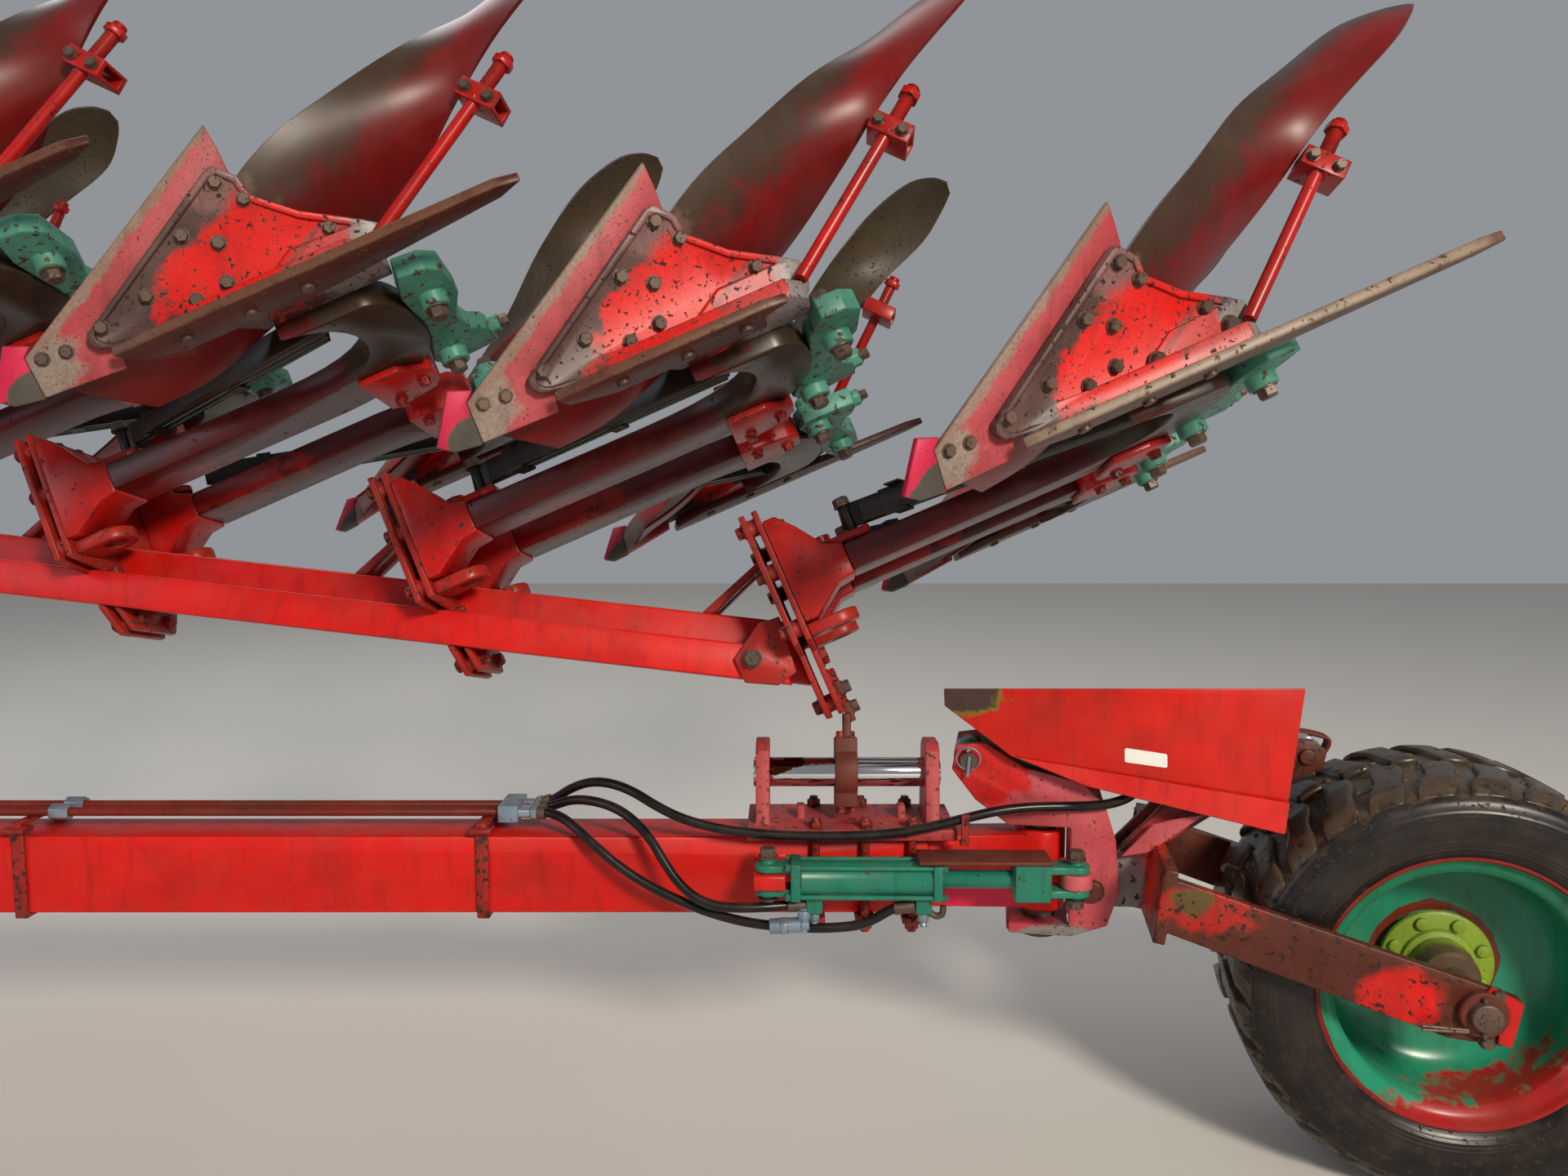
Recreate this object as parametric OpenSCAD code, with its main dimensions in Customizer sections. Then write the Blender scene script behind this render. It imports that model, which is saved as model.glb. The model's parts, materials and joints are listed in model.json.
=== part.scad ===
// Semi-mounted reversible moldboard plough, parked with its frame turned half over.
// Millimetres. X runs to the rear, Y away from the left-hand row of bodies, Z up.

/* [Carriage] */
// Width of the carriage beam
beam_w = 150; // [130:5:180]
// Height of the carriage beam
beam_h = 180; // [160:5:200]
// Height of the beam's underside above the ground
beam_z = 540; // [520:5:560]
// Where the beam starts behind the hitch pivot
beam_front = -4250; // [-4300:10:-4200]
// Height of the turnover axis
axis_z = 853; // [840:1:870]
// Diameter of the chromed turnover shaft
shaft_d = 68; // [60:1:76]

/* [Turned frame] */
// Number of pairs of bodies
body_pairs = 5; // [4:1:5]
// Distance between bodies along the frame
body_pitch = 850; // [840:5:860]
// Fall of the frame towards the rear, degrees
frame_slope = 6.7; // [6:0.1:7.2]
// Angle of the bodies' travel to the carriage beam, degrees
travel_angle = 23.4; // [23:0.1:24]
// Lean of the turned frame away from upright, degrees
frame_lean = 12; // [10:0.5:14]
// Yaw of the turned frame, degrees
frame_yaw = 3.3; // [2.5:0.1:4]
// Height of the main beam
main_h = 140; // [120:2:150]
// Depth of the main beam
main_d = 100; // [90:2:110]
// Side of the square width rail
rail_s = 80; // [70:2:86]

/* [Plough body] */
// Distance from the frame's middle to the soles
sole_drop = 745; // [735:1:755]
// Angle of the share's cutting edge to the travel, degrees
share_angle = 31.5; // [31:0.1:32]
// Rise of the share behind its edge, degrees
share_rise = 30; // [28:0.5:32]
// Thickness of the share
share_t = 12; // [8:1:14]
// Thickness of the frog's plate
frog_t = 18; // [14:1:20]
// Thickness of the moldboard sheet
board_t = 8; // [6:1:10]
// Width of the leg bar
leg_w = 60; // [50:2:66]
// Diameter of the moldboard stay
stay_d = 28; // [24:1:32]
// Leaves in each trip spring
leaf_count = 6; // [4:1:7]

/* [Wheel] */
// Radius of the tyre
tyre_r = 460; // [450:2:468]
// Width of the tyre
tyre_w = 420; // [400:5:430]
// Radius of the rim's flange
rim_r = 298; // [290:1:304]
// Distance of the axle behind the king pin
trail = 870; // [860:5:880]
// Angle at which the wheel is steered as parked, degrees
steer_rest = 10; // [6:0.5:14]
// Diameter of the king pin
king_d = 70; // [60:1:76]

/* [Hitch] */
// Diameter of a lower link pin
link_pin_d = 36.6; // [36.2:0.1:37]
// Distance between the link pins' shoulders
link_span = 965; // [955:1:975]
// Height of the link pins as parked
link_z = 620; // [600:5:640]

/* [Hidden] */
$fn = 48;

gap = 0.3;
origin_x = 1352.5;
origin_y = -288.3;
beam_top = beam_z + beam_h;
king_x = 602;
frame_ref = [257, 518, 0];
beam_ref = [-200, 303, 0];
rail_drop = 37;
rail_front = 136;
plate_x = -300;
plate_t = 14;
foot_x = -255;
hitch_pin_d = 80;
shaft_bar_d = 90;
port_y = [-36, 0, 36];
steer_base = [-35, -165];
steer_lug = [72, -165];
steer_z = 655;
steer_pin_d = 30;
lug_t = 34;
lift_pin_d = 50;
horn_pin_d = 35;
axle_pin_d = 60;
cover_y = 115;

module placed() { translate([origin_x, origin_y, 0]) children(); }
module turned_frame() {
  placed() translate([0, 0, axis_z]) rotate([90 - frame_lean, 0, 0])
    translate(frame_ref) rotate([0, -frame_yaw, 0]) translate(-frame_ref) children();
}
module on_station(k) {
  translate(frame_ref) translate([-cos(frame_slope), sin(frame_slope), 0] * body_pitch * k)
    rotate([0, 0, travel_angle]) children();
}
module far_row() {
  for ($k = [0:body_pairs - 1]) turned_frame() on_station($k)
    translate([0, 0, -sole_drop]) children();
}
module near_row() {
  for ($k = [0:body_pairs - 1]) turned_frame() on_station($k)
    mirror([0, 0, 1]) translate([0, 0, -sole_drop]) children();
}
module on_frame_line() { translate(beam_ref) rotate([0, 0, -frame_slope]) children(); }
module on_swivel() { placed() translate([king_x, 0, 0]) rotate([0, 0, -steer_rest]) children(); }

function bezier(a, b, c, d, n) = [for (i = [0:n]) let (t = i / n, s = 1 - t)
  s * s * s * a + 3 * s * s * t * b + 3 * s * t * t * c + t * t * t * d];
function unit(v) = v / norm(v);
function reversed(v) = [for (i = [len(v) - 1:-1:0]) v[i]];

// A round tube swept along a route, closed at both ends
module swept_tube(route, d, sides = 8) {
  n = len(route);
  dirs = [for (i = [0:n - 1]) unit(route[min(i + 1, n - 1)] - route[max(i - 1, 0)])];
  side = [for (v = dirs) unit(cross(v, [0, 1, 0]))];
  rings = [for (i = [0:n - 1]) for (j = [0:sides - 1]) let (a = 360 * j / sides)
    route[i] + d / 2 * (cos(a) * side[i] + sin(a) * cross(dirs[i], side[i]))];
  walls = [for (i = [0:n - 2]) for (j = [0:sides - 1]) let (m = (j + 1) % sides)
    [i * sides + j, i * sides + m, (i + 1) * sides + m, (i + 1) * sides + j]];
  polyhedron(rings, concat(walls, [reversed([for (j = [0:sides - 1]) j])],
    [[for (j = [0:sides - 1]) (n - 1) * sides + j]]), convexity = 6);
}

// Carriage
module carriage_beam() {
  color("red") placed() difference() {
    union() {
      translate([beam_front, -beam_w / 2, beam_z]) cube([king_x - 270 - beam_front, beam_w, beam_h]);
      translate([king_x - 270, -50, beam_z + 5]) cube([270, 100, beam_h - 10]);
      translate([king_x, 0, beam_z - 5]) cylinder(h = beam_h + 10, d = 116);
      translate([beam_front, 0, beam_z - 15]) cylinder(h = beam_h + 30, d = 170);
      translate([steer_base[0] - 33, steer_base[1] - 40, steer_z - lug_t / 2])
        cube([72, -steer_base[1] + 40 - beam_w / 2, lug_t]);
    }
    translate([king_x, 0, beam_z - 10]) cylinder(h = beam_h + 20, d = king_d + 1);
    translate([beam_front, 0, beam_z - 20]) cylinder(h = beam_h + 40, d = hitch_pin_d + 1);
    translate([steer_base[0], steer_base[1], steer_z - 25]) cylinder(h = 50, d = steer_pin_d + 1);
  }
}
pipe_d = 20;
pipe_y = [-30, 30];
pipe_z = beam_top + 46;
pipe_front = -3690;
pipe_rear = -660;
module beam_clamps() {
  strap_t = 10;
  top_z = beam_top + 12 + 2 * gap;
  color("maroon") placed() for (x = [-690, -1750, -2800]) translate([x, 0, 0]) {
    translate([-15, -beam_w / 2 - gap - strap_t, beam_z - gap - strap_t])
      cube([30, beam_w + 2 * (gap + strap_t), strap_t]);
    for (s = [-1, 1]) translate([-15, s * (beam_w / 2 + gap + strap_t / 2) - strap_t / 2, beam_z - gap])
      cube([30, strap_t, beam_h + gap + 12]);
    for (s = [-1, 1]) translate([-25, s * (beam_w / 2 + 5) - 22, top_z]) cube([50, 44, 12]);
    translate([-12, -beam_w / 2 - 15, top_z + 12])
      cube([24, beam_w + 30, pipe_z - pipe_d / 2 - gap - top_z - 12]);
  }
}
module hydraulic_pipes() {
  color("maroon") placed() for (y = pipe_y) translate([pipe_front, y, pipe_z]) rotate([0, 90, 0])
    cylinder(h = pipe_rear - pipe_front, d = pipe_d);
}
module pipe_fittings() {
  color("silver") placed() {
    for (y = pipe_y) translate([-1700, y, pipe_z]) rotate([0, 90, 0]) difference() {
      cylinder(h = 44, d = 40, $fn = 6);
      translate([0, 0, -1]) cylinder(h = 46, d = pipe_d + 2 * gap);
    }
    translate([pipe_rear + gap, -54, pipe_z - 20]) cube([46, 108, 40]);
    for (y = port_y) translate([pipe_rear + gap + 46, y, pipe_z]) rotate([0, 90, 0])
      cylinder(h = 30, d = 28, $fn = 6);
  }
}
bracket_x = [-65, 325];
bracket_t = 32;
base_t = 26;
stud_y = 90;
stud_x = [72, 185, 292];
module pivot_bracket() {
  foot_z = -(axis_z - beam_top - base_t);
  color("red") placed() difference() {
    union() {
      translate([-84, -108, beam_top]) cube([476, 216, base_t]);
      for (x = bracket_x) translate([x, 0, axis_z]) rotate([90, 0, 90]) linear_extrude(bracket_t)
        polygon([[-70, foot_z], [70, foot_z], [52, 60], [30, 76], [-30, 76], [-52, 60]]);
      for (x = [30, 265]) translate([x, -18, beam_top + base_t]) cube([18, 36, 30]);
    }
    translate([-120, 0, axis_z]) rotate([0, 90, 0]) cylinder(h = 560, d = shaft_d + 2 * gap);
    for (x = stud_x, s = [-1, 1]) translate([x, s * stud_y, beam_top - 1]) cylinder(h = base_t + 2, d = 21);
  }
}
module bracket_bolts() {
  color("dimgray") placed() for (x = stud_x) {
    translate([x - 22, -stud_y - 16, beam_z - gap - 14]) cube([44, 2 * stud_y + 32, 14]);
    for (s = [-1, 1]) translate([x, s * stud_y, 0]) {
      translate([0, 0, beam_z - 36]) cylinder(h = beam_h + base_t + 60, d = 20);
      for (z = [beam_z - 30, beam_top + base_t + gap]) translate([0, 0, z]) cylinder(h = 16, d = 32, $fn = 6);
    }
  }
}
module turnover_shaft() {
  color("gainsboro") placed() translate([bracket_x[0] - 6, 0, axis_z]) rotate([0, 90, 0])
    cylinder(h = bracket_x[1] - bracket_x[0] + bracket_t + 12, d = shaft_d);
}
bearing_x = [-4060, -3880];
bearing_t = 60;
axle_d = 110;
module front_bearing() {
  color("firebrick") placed() for (x = bearing_x) difference() {
    translate([x, 0, axis_z]) rotate([90, 0, 90]) linear_extrude(bearing_t) union() {
      circle(d = axle_d + 90);
      translate([-beam_w / 2, beam_top - axis_z]) square([beam_w, axis_z - beam_top]);
    }
    translate([x - 1, 0, axis_z]) rotate([0, 90, 0]) cylinder(h = bearing_t + 2, d = axle_d + 1);
  }
}
module rack_cylinder() {
  housing_x = bearing_x[0] + bearing_t + gap;
  housing = bearing_x[1] - gap - housing_x;
  color("teal") placed() difference() {
    union() {
      translate([housing_x, -100, beam_top]) cube([housing, 200, 250]);
      translate([housing_x + housing / 2, 0, axis_z + 130]) rotate([90, 0, 0])
        cylinder(h = 620, d = 108, center = true);
    }
    translate([housing_x - 5, 0, axis_z]) rotate([0, 90, 0]) cylinder(h = housing + 10, d = axle_d + 1);
  }
}

// Parking stands
stand_x = -4120;
stand_y = 300;
module stand_sleeves() {
  color("firebrick") placed() for (s = [-1, 1]) difference() {
    union() {
      translate([stand_x - 50, s * stand_y - 45, 420]) cube([100, 90, 300]);
      translate([stand_x - 35, s > 0 ? beam_w / 2 : -stand_y + 45, beam_z + 40])
        cube([70, stand_y - 45 - beam_w / 2, 100]);
    }
    translate([stand_x - 32, s * stand_y - 32, 400]) cube([64, 64, 340]);
  }
}
module stand(s) {
  color("dimgray") placed() translate([stand_x, s * stand_y, 0]) {
    translate([-32 + gap, -32 + gap, 14]) cube([64 - 2 * gap, 64 - 2 * gap, 880]);
    translate([-90, -80, 0]) cube([180, 160, 14]);
  }
}

// Hitch
pitch_x = -4560;
module headstock() {
  color("red") placed() difference() {
    union() {
      for (z = [beam_z - 50, beam_top + 20]) {
        translate([beam_front, 0, z]) cylinder(h = 30, d = 160);
        translate([0, 0, z]) linear_extrude(30) polygon([[beam_front, -80], [beam_front, 80],
          [pitch_x + 60, 130], [pitch_x + 60, -130]]);
      }
      translate([pitch_x + 40, -150, beam_z - 90]) cube([30, 300, 460]);
      for (s = [-1, 1]) translate([pitch_x + 69, s * 105 - 10, beam_top + 34]) cube([80, 20, 60]);
      for (s = [0, 1]) mirror([0, s, 0]) translate([pitch_x + 41, 145, 0]) rotate([90, 0, 0])
        linear_extrude(25) polygon([[0, beam_z - 90], [0, link_z + 100], [-60, link_z + 92],
          [-116, link_z + 40], [-116, link_z - 40], [-60, link_z - 92]]);
    }
    translate([beam_front, 0, beam_z - 60]) cylinder(h = beam_h + 130, d = hitch_pin_d + 1);
    translate([pitch_x, 0, link_z]) rotate([90, 0, 0]) cylinder(h = 700, d = shaft_bar_d + 1, center = true);
  }
}
module hitch_pin() {
  color("dimgray") placed() translate([beam_front, 0, beam_z - 60]) {
    cylinder(h = beam_h + 116, d = hitch_pin_d);
    translate([0, 0, beam_h + 116]) cylinder(h = 12, d = 110);
  }
}
module cross_shaft() {
  color("dimgray") placed() translate([pitch_x, 0, link_z]) rotate([90, 0, 0]) {
    cylinder(h = link_span - 60, d = shaft_bar_d, center = true);
    cylinder(h = link_span, d = 60, center = true);
    cylinder(h = link_span + 250, d = link_pin_d, center = true);
  }
}

// Turning head, which carries the front of the turned frame
head_x = -3800;
head_y = 303 - (head_x + 200) * tan(frame_slope);
head_z = (head_x - frame_ref[0]) * sin(frame_yaw);
head_turn = atan2(head_z, head_y);
head_t = 25;
module turning_head() {
  arm = norm([head_y - 120, head_z]);
  color("red") {
    placed() translate([bearing_x[0] - 40, 0, axis_z]) rotate([0, 90, 0])
      cylinder(h = head_x + 80 - bearing_x[0], d = axle_d);
    placed() translate([head_x - 15, 0, axis_z]) rotate([90 - frame_lean + head_turn, 0, 0]) {
      rotate([0, 90, 0]) cylinder(h = 90, d = 220);
      translate([0, 0, -70]) cube([90, arm, 140]);
    }
    turned_frame() {
      translate([head_x - 70, head_y - 190, -main_d / 2 - gap - head_t])
        cube([160, 75, main_d + 2 * (gap + head_t)]);
      for (s = [-1, 1]) translate([head_x - 70, head_y - 190, s * (main_d / 2 + gap + head_t / 2)])
        linear_extrude(head_t, center = true)
          polygon([[0, 0], [160, 0], [230, 130], [230, 250], [60, 270], [0, 200]]);
      translate([head_x + 70, head_y - 10, 0]) cylinder(h = 190, d = 50, center = true);
    }
  }
}
module main_beam() {
  color("red") turned_frame() difference() {
    on_frame_line() translate([-3640, -main_h / 2, -main_d / 2])
      cube([3640 + 400, main_h, main_d]);
    on_station(0) translate([plate_x - gap, -600, -300]) cube([900, 1200, 600]);
    translate([head_x + 70, head_y - 10, -100]) cylinder(h = 200, d = 51);
  }
}
module rail_solid(grow = 0) {
  on_frame_line() translate([-3300, -rail_drop - rail_s / 2 - grow, rail_front - rail_s - grow])
    cube([3300 + 400, rail_s + 2 * grow, rail_s + 2 * grow]);
}
module beam_solid(grow = 0) {
  on_frame_line() translate([-3640, -main_h / 2 - grow, -main_d / 2 - grow])
    cube([3640 + 400, main_h + 2 * grow, main_d + 2 * grow]);
}
module width_rail() {
  color("red") turned_frame() difference() {
    rail_solid();
    on_station(0) translate([plate_x - 40, -600, -300]) cube([900, 1200, 600]);
  }
}
module bracket_plate(x, t) {
  translate([x, 0, 0]) rotate([90, 0, 90]) linear_extrude(t) polygon([[180, -235], [180, 235],
    [-130, 235], [-150, 128], [-236, 128], [-302, 84], [-302, -84], [-236, -128], [-150, -128],
    [-130, -235]]);
}
bracket_studs = [[150, 205], [-95, 205], [40, 205], [-270, 60]];
module station_brackets() {
  color("firebrick") turned_frame() for (k = [0:body_pairs - 1]) difference() {
    on_station(k) {
      for (x = [plate_x, foot_x - gap - plate_t]) bracket_plate(x, plate_t);
      for (p = bracket_studs, s = [-1, 1]) translate([plate_x + 1, p[0], s * p[1]]) rotate([0, 90, 0])
        cylinder(h = foot_x - plate_x - 2, d = 40);
    }
    if (k > 0) beam_solid(gap);
    if (k > 0) rail_solid(gap);
  }
  color("red") turned_frame() translate([-25, 257, rail_front + gap])
    linear_extrude(12) polygon([[-80, 0], [-55, -54], [20, -60], [62, -30], [22, 96], [-25, 80]]);
  color("dimgray") turned_frame() translate([-62, 257, rail_front + gap + 12 - 1]) rotate([0, 0, 15])
    cylinder(h = 15, d = 40, $fn = 6);
}
module frame_braces() {
  color("red") turned_frame() for (k = [0:body_pairs - 1]) difference() {
    on_station(k) for (z = [-30, 30]) translate([0, 0, z]) linear_extrude(32, center = true)
      polygon([[plate_x - gap, 86], [plate_x - gap, 103], [plate_x - 180, 41], [plate_x - 160, 24]]);
    beam_solid(gap);
  }
}
loop_y = -125;
module strap_loops() {
  color("red") turned_frame() for (k = [0:body_pairs - 1]) on_station(k) for (s = [-1, 1])
    translate([foot_x, loop_y, s * 170]) rotate([-90, 0, 0]) difference() {
      union() {
        translate([0, -48, 0]) cube([70, 96, 28]);
        translate([70, 0, 0]) cylinder(h = 28, d = 96);
      }
      translate([70, 0, -1]) cylinder(h = 30, d = 52);
    }
}
module rear_link() {
  color("sienna") difference() {
    union() {
      turned_frame() on_station(0) translate([foot_x + gap, -330, -32]) cube([18, 110, 64]);
      placed() translate([118, 0, axis_z]) rotate([90 - frame_lean, 0, 0]) {
        rotate([0, 90, 0]) cylinder(h = 52, d = 118);
        translate([20, 40, -30]) cube([18, 96, 60]);
        for (s = [-1, 1]) translate([0, s * 62 - 18, -35]) cube([52, 36, 70]);
      }
    }
    placed() translate([110, 0, axis_z]) rotate([0, 90, 0]) cylinder(h = 70, d = shaft_d + 2 * gap);
  }
}

// Plough bodies. Each body has its share's tip at the origin, X against the travel,
// Y to the furrow side and Z from the sole to the frame.
module share_plane() { rotate([0, 0, share_angle]) rotate([-share_rise, 0, 0]) children(); }
module share() {
  share_plane() linear_extrude(share_t) polygon([[90, 0], [642, 0], [620, -44], [590, -94],
    [380, -84], [235, -78], [178, -144], [48, -66]]);
}
module point() {
  share_plane() translate([0, 0, 0]) linear_extrude(share_t + 4)
    polygon([[-9, -5], [86, 40], [114, 5], [89.5, 0.2], [46, -68], [4, -36]]);
}
// Outline of the frog's plate in the share's plane, and of its cast pad for the landside
frog_outline = [[190, -60], [572, -50], [588, -56], [600, -100], [586, -135], [618, -218], [676, -310],
  [694, -342], [688, -372], [662, -394], [604, -400], [196, -106], [182, -92], [180, -72]];
frog_inner = [[200, -70], [564, -64], [578, -70], [586, -100], [572, -135], [606, -226], [664, -318],
  [674, -340], [670, -362], [654, -378], [606, -385], [206, -104], [196, -92], [194, -78]];
frog_pad = [[430, -270], [452, -247], [545, -246], [668, -314], [688, -345], [684, -370], [660, -390],
  [604, -396]];
rim_t = 6;
module frog() {
  share_plane() {
    translate([0, 0, -frog_t - gap]) linear_extrude(frog_t) polygon(frog_outline);
    translate([0, 0, -frog_t - gap - rim_t]) linear_extrude(rim_t + 1) difference() {
      polygon(frog_outline);
      polygon(frog_inner);
    }
    translate([0, 0, -frog_t - gap - rim_t]) linear_extrude(rim_t + 1) polygon(frog_pad);
  }
  translate([0, 46, 0]) rotate([90, 0, 0]) linear_extrude(40) polygon([[240, 44], [420, 60],
    [700, 60], [735, 110], [735, 190 - gap], [455, 190 - gap], [400, 110]]);
}
landside_t = 20;
// Lengths as worn, from the rear body forwards; the second has lost its tail
near_landsides = [1110, 640, 1010, 1010, 1010];
far_landside = 1000;
module landside(length) {
  translate([0, 6 - gap, 0]) rotate([90, 0, 0]) linear_extrude(landside_t)
    polygon([[228, 12], [300, 8], [length, 8], [length + 50, 24], [length, 52], [640, 104],
      [330, 104], [240, 62]]);
}
board_rows = [
  // outer x, y, z, inner x, y, z, hollow of the section
  [100, -8, 62, 165, -14, 250, 0],
  [250, 72, 62, 290, 8, 275, 22],
  [420, 168, 62, 450, 70, 286, 32],
  [610, 290, 66, 640, 150, 330, 46],
  [760, 372, 118, 770, 215, 325, 46],
  [930, 470, 215, 930, 295, 258, 38],
  [1100, 535, 300, 1100, 388, 200, 28],
  [1240, 575, 312, 1250, 455, 172, 16],
  [1320, 570, 300, 1330, 505, 205, 6],
  [1362, 548, 275, 1365, 530, 245, 2]
];
board_cross = 5;
function board_point(i, w) = let (r = board_rows[i], o = [r[0], r[1], r[2]], n = [r[3], r[4], r[5]],
  q = board_rows[min(i + 1, len(board_rows) - 1)], p = board_rows[max(i - 1, 0)],
  along = unit([q[0] - p[0], q[1] - p[1], q[2] - p[2]]), back = unit(cross(along, n - o)))
  o + (n - o) * w + back * r[6] * 4 * w * (1 - w);
function board_normal(i, w) = let (m = len(board_rows) - 1,
  a = board_point(min(i + 1, m), w) - board_point(max(i - 1, 0), w),
  b = board_point(i, min(w + 0.1, 1)) - board_point(i, max(w - 0.1, 0))) unit(cross(a, b));
module moldboard() {
  rows = len(board_rows);
  cols = board_cross + 1;
  front = [for (i = [0:rows - 1]) for (j = [0:board_cross]) board_point(i, j / board_cross)];
  back = [for (i = [0:rows - 1]) for (j = [0:board_cross])
    board_point(i, j / board_cross) + board_t * board_normal(i, j / board_cross)];
  n = rows * cols;
  skin = [for (i = [0:rows - 2]) for (j = [0:board_cross - 1]) let (a = i * cols + j)
    each [[a, a + 1, a + cols + 1], [a, a + cols + 1, a + cols]]];
  inner = [for (f = skin) [n + f[2], n + f[1], n + f[0]]];
  edge = concat([for (j = [0:cols - 1]) j], [for (i = [1:rows - 1]) i * cols + cols - 1],
    [for (j = [cols - 2:-1:0]) (rows - 1) * cols + j], [for (i = [rows - 2:-1:1]) i * cols]);
  rim = [for (i = [0:len(edge) - 1]) let (a = edge[i], b = edge[(i + 1) % len(edge)])
    each [[b, a, n + a], [b, n + a, n + b]]];
  polyhedron(concat(front, back), concat(skin, inner, rim), convexity = 4);
}
module leg(grow = 0) {
  inner = concat([[-110, 500]], bezier([330, 505], [500, 505], [590, 440], [590, 330], 8),
    bezier([588, 300], [575, 230], [520, 200], [470, 190], 6));
  outer = concat(bezier([640, 190], [690, 200], [715, 250], [715, 360], 8),
    bezier([713, 400], [700, 560], [560, 632], [420, 640], 8), [[-110, 640]]);
  rotate([90, 0, 0]) linear_extrude(leg_w + 2 * grow, center = true) polygon(concat(inner, outer));
}
// Eye and end of the trip spring
eye_x = -75;
eye_z = 552;
eye_d = 24;
spring_a = [-75, 92, 564];
spring_b = [540, 12, 300];
module leg_head() {
  difference() {
    union() {
      translate([0, 0, 505]) linear_extrude(130) polygon([[foot_x, -92], [foot_x + 30, -92],
        [-150, -40], [-110 - gap, -36], [-110 - gap, 36], [-150, 52], [-190, 110], [foot_x + 30, 150],
        [foot_x, 150]]);
      translate([-190, 34, 520]) cube([150, 22, 60]);
    }
    translate([eye_x, 90, eye_z]) rotate([90, 0, 0]) cylinder(h = 80, d = eye_d + 2);
  }
}
module stay() {
  a = [738, 60, 138];
  b = [1075, 332, 220];
  v = b - a;
  run = norm([v[0], v[1]]);
  translate(a) rotate([0, 0, atan2(v[1], v[0])]) rotate([0, 90 - atan2(v[2], run), 0])
    cylinder(h = norm(v) + 60, d = stay_d);
  translate([1035, 294.2, 186]) rotate([0, 0, 40]) difference() {
    translate([-20, -45, 0]) cube([40, 90, 80]);
    translate([-12, -60, 12]) cube([24, 120, 56]);
  }
}
leaf_w = 56;
leaf_t = 9;
module leaf_spring() {
  v = spring_b - spring_a;
  translate(spring_a) rotate([0, 0, atan2(v[1], v[0])])
    rotate([0, -atan2(v[2], norm([v[0], v[1]])), 0])
      for (i = [0:leaf_count - 1]) translate([i * 55 - 14, (i % 2) * 2 - leaf_w / 2, -leaf_t * (i + 1)])
        cube([norm(v) - i * 48 + 14, leaf_w - (i % 2) * 4, leaf_t]);
  translate([eye_x, 32, eye_z]) rotate([-90, 0, 0]) cylinder(h = 84, d = eye_d);
}
// Cast toggle behind the gooseneck, with bosses for its bolts, and the block that it bears on
toggle_outline = [[712, 380], [718, 250], [746, 158], [800, 165], [830, 198], [822, 318], [780, 420],
  [790, 505], [814, 535], [818, 620], [760, 630], [680, 636], [662, 590], [700, 470]];
toggle_bosses = [[772, 285, 62], [712, 575, 66]];
toggle_t = 46;
block_outline = [[500, 500], [590, 500], [655, 560], [655, 622], [630, 668], [520, 700], [500, 690]];
module trip_toggle() {
  difference() {
    union() {
      side_plate(0, toggle_t, toggle_outline);
      for (b = toggle_bosses) across(b, leg_w + 44, b[2]);
      translate([814, 0, 578]) rotate([0, 90, 0]) cylinder(h = 26, d = 46, $fn = 6);
    }
    leg(gap);
  }
  difference() {
    side_plate(0, leg_w + 34, block_outline);
    leg(gap);
    side_plate(0, toggle_t + 2 * gap, toggle_outline);
    across(toggle_bosses[1], leg_w + 60, toggle_bosses[1][2] + 4 * gap);
  }
}

// Steered wheel carrier
yoke_y = 60;
yoke_t = 20;
lift_pivot = [115, 600];
horn = [-167, 892];
lift_eye = [trail - 300, 2 * tyre_r + 5];
module yoke_plate() {
  polygon([[-70, 490], [70, 490], [150, 520], [175, 600], [165, 720], [140, 800], [90, 850],
    [-40, 880], [-130, 935], [-195, 925], [-205, 870], [-150, 800], [-75, 745], [65, 745], [65, 515],
    [-70, 515]]);
}
module swivel_yoke() {
  color("salmon") on_swivel() difference() {
    union() {
      for (s = [-1, 1]) translate([0, s * (yoke_y + yoke_t / 2), 0]) rotate([90, 0, 0])
        linear_extrude(yoke_t, center = true) yoke_plate();
      for (z = [490, 745]) translate([-75, -yoke_y, z]) cube([140, 2 * yoke_y, 25]);
      translate([steer_lug[0] - 30, steer_lug[1], steer_z - lug_t / 2])
        cube([60, -steer_lug[1] - yoke_y - 5, lug_t]);
      translate([steer_lug[0], steer_lug[1], steer_z - lug_t / 2]) cylinder(h = lug_t, d = 72);
    }
    translate([0, 0, 400]) cylinder(h = 500, d = king_d + 2 * gap);
    translate([steer_lug[0], steer_lug[1], 600]) cylinder(h = 100, d = steer_pin_d + 1);
    across(lift_pivot, 400, lift_pin_d + 2 * gap);
    across(horn, 400, horn_pin_d + 2 * gap);
  }
}
module king_pin() {
  color("dimgray") placed() translate([king_x, 0, 470]) {
    cylinder(h = 310, d = king_d);
    translate([0, 0, 310]) cylinder(h = 10, d = king_d + 30);
    cylinder(h = 12, d = king_d + 20);
  }
}
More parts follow.
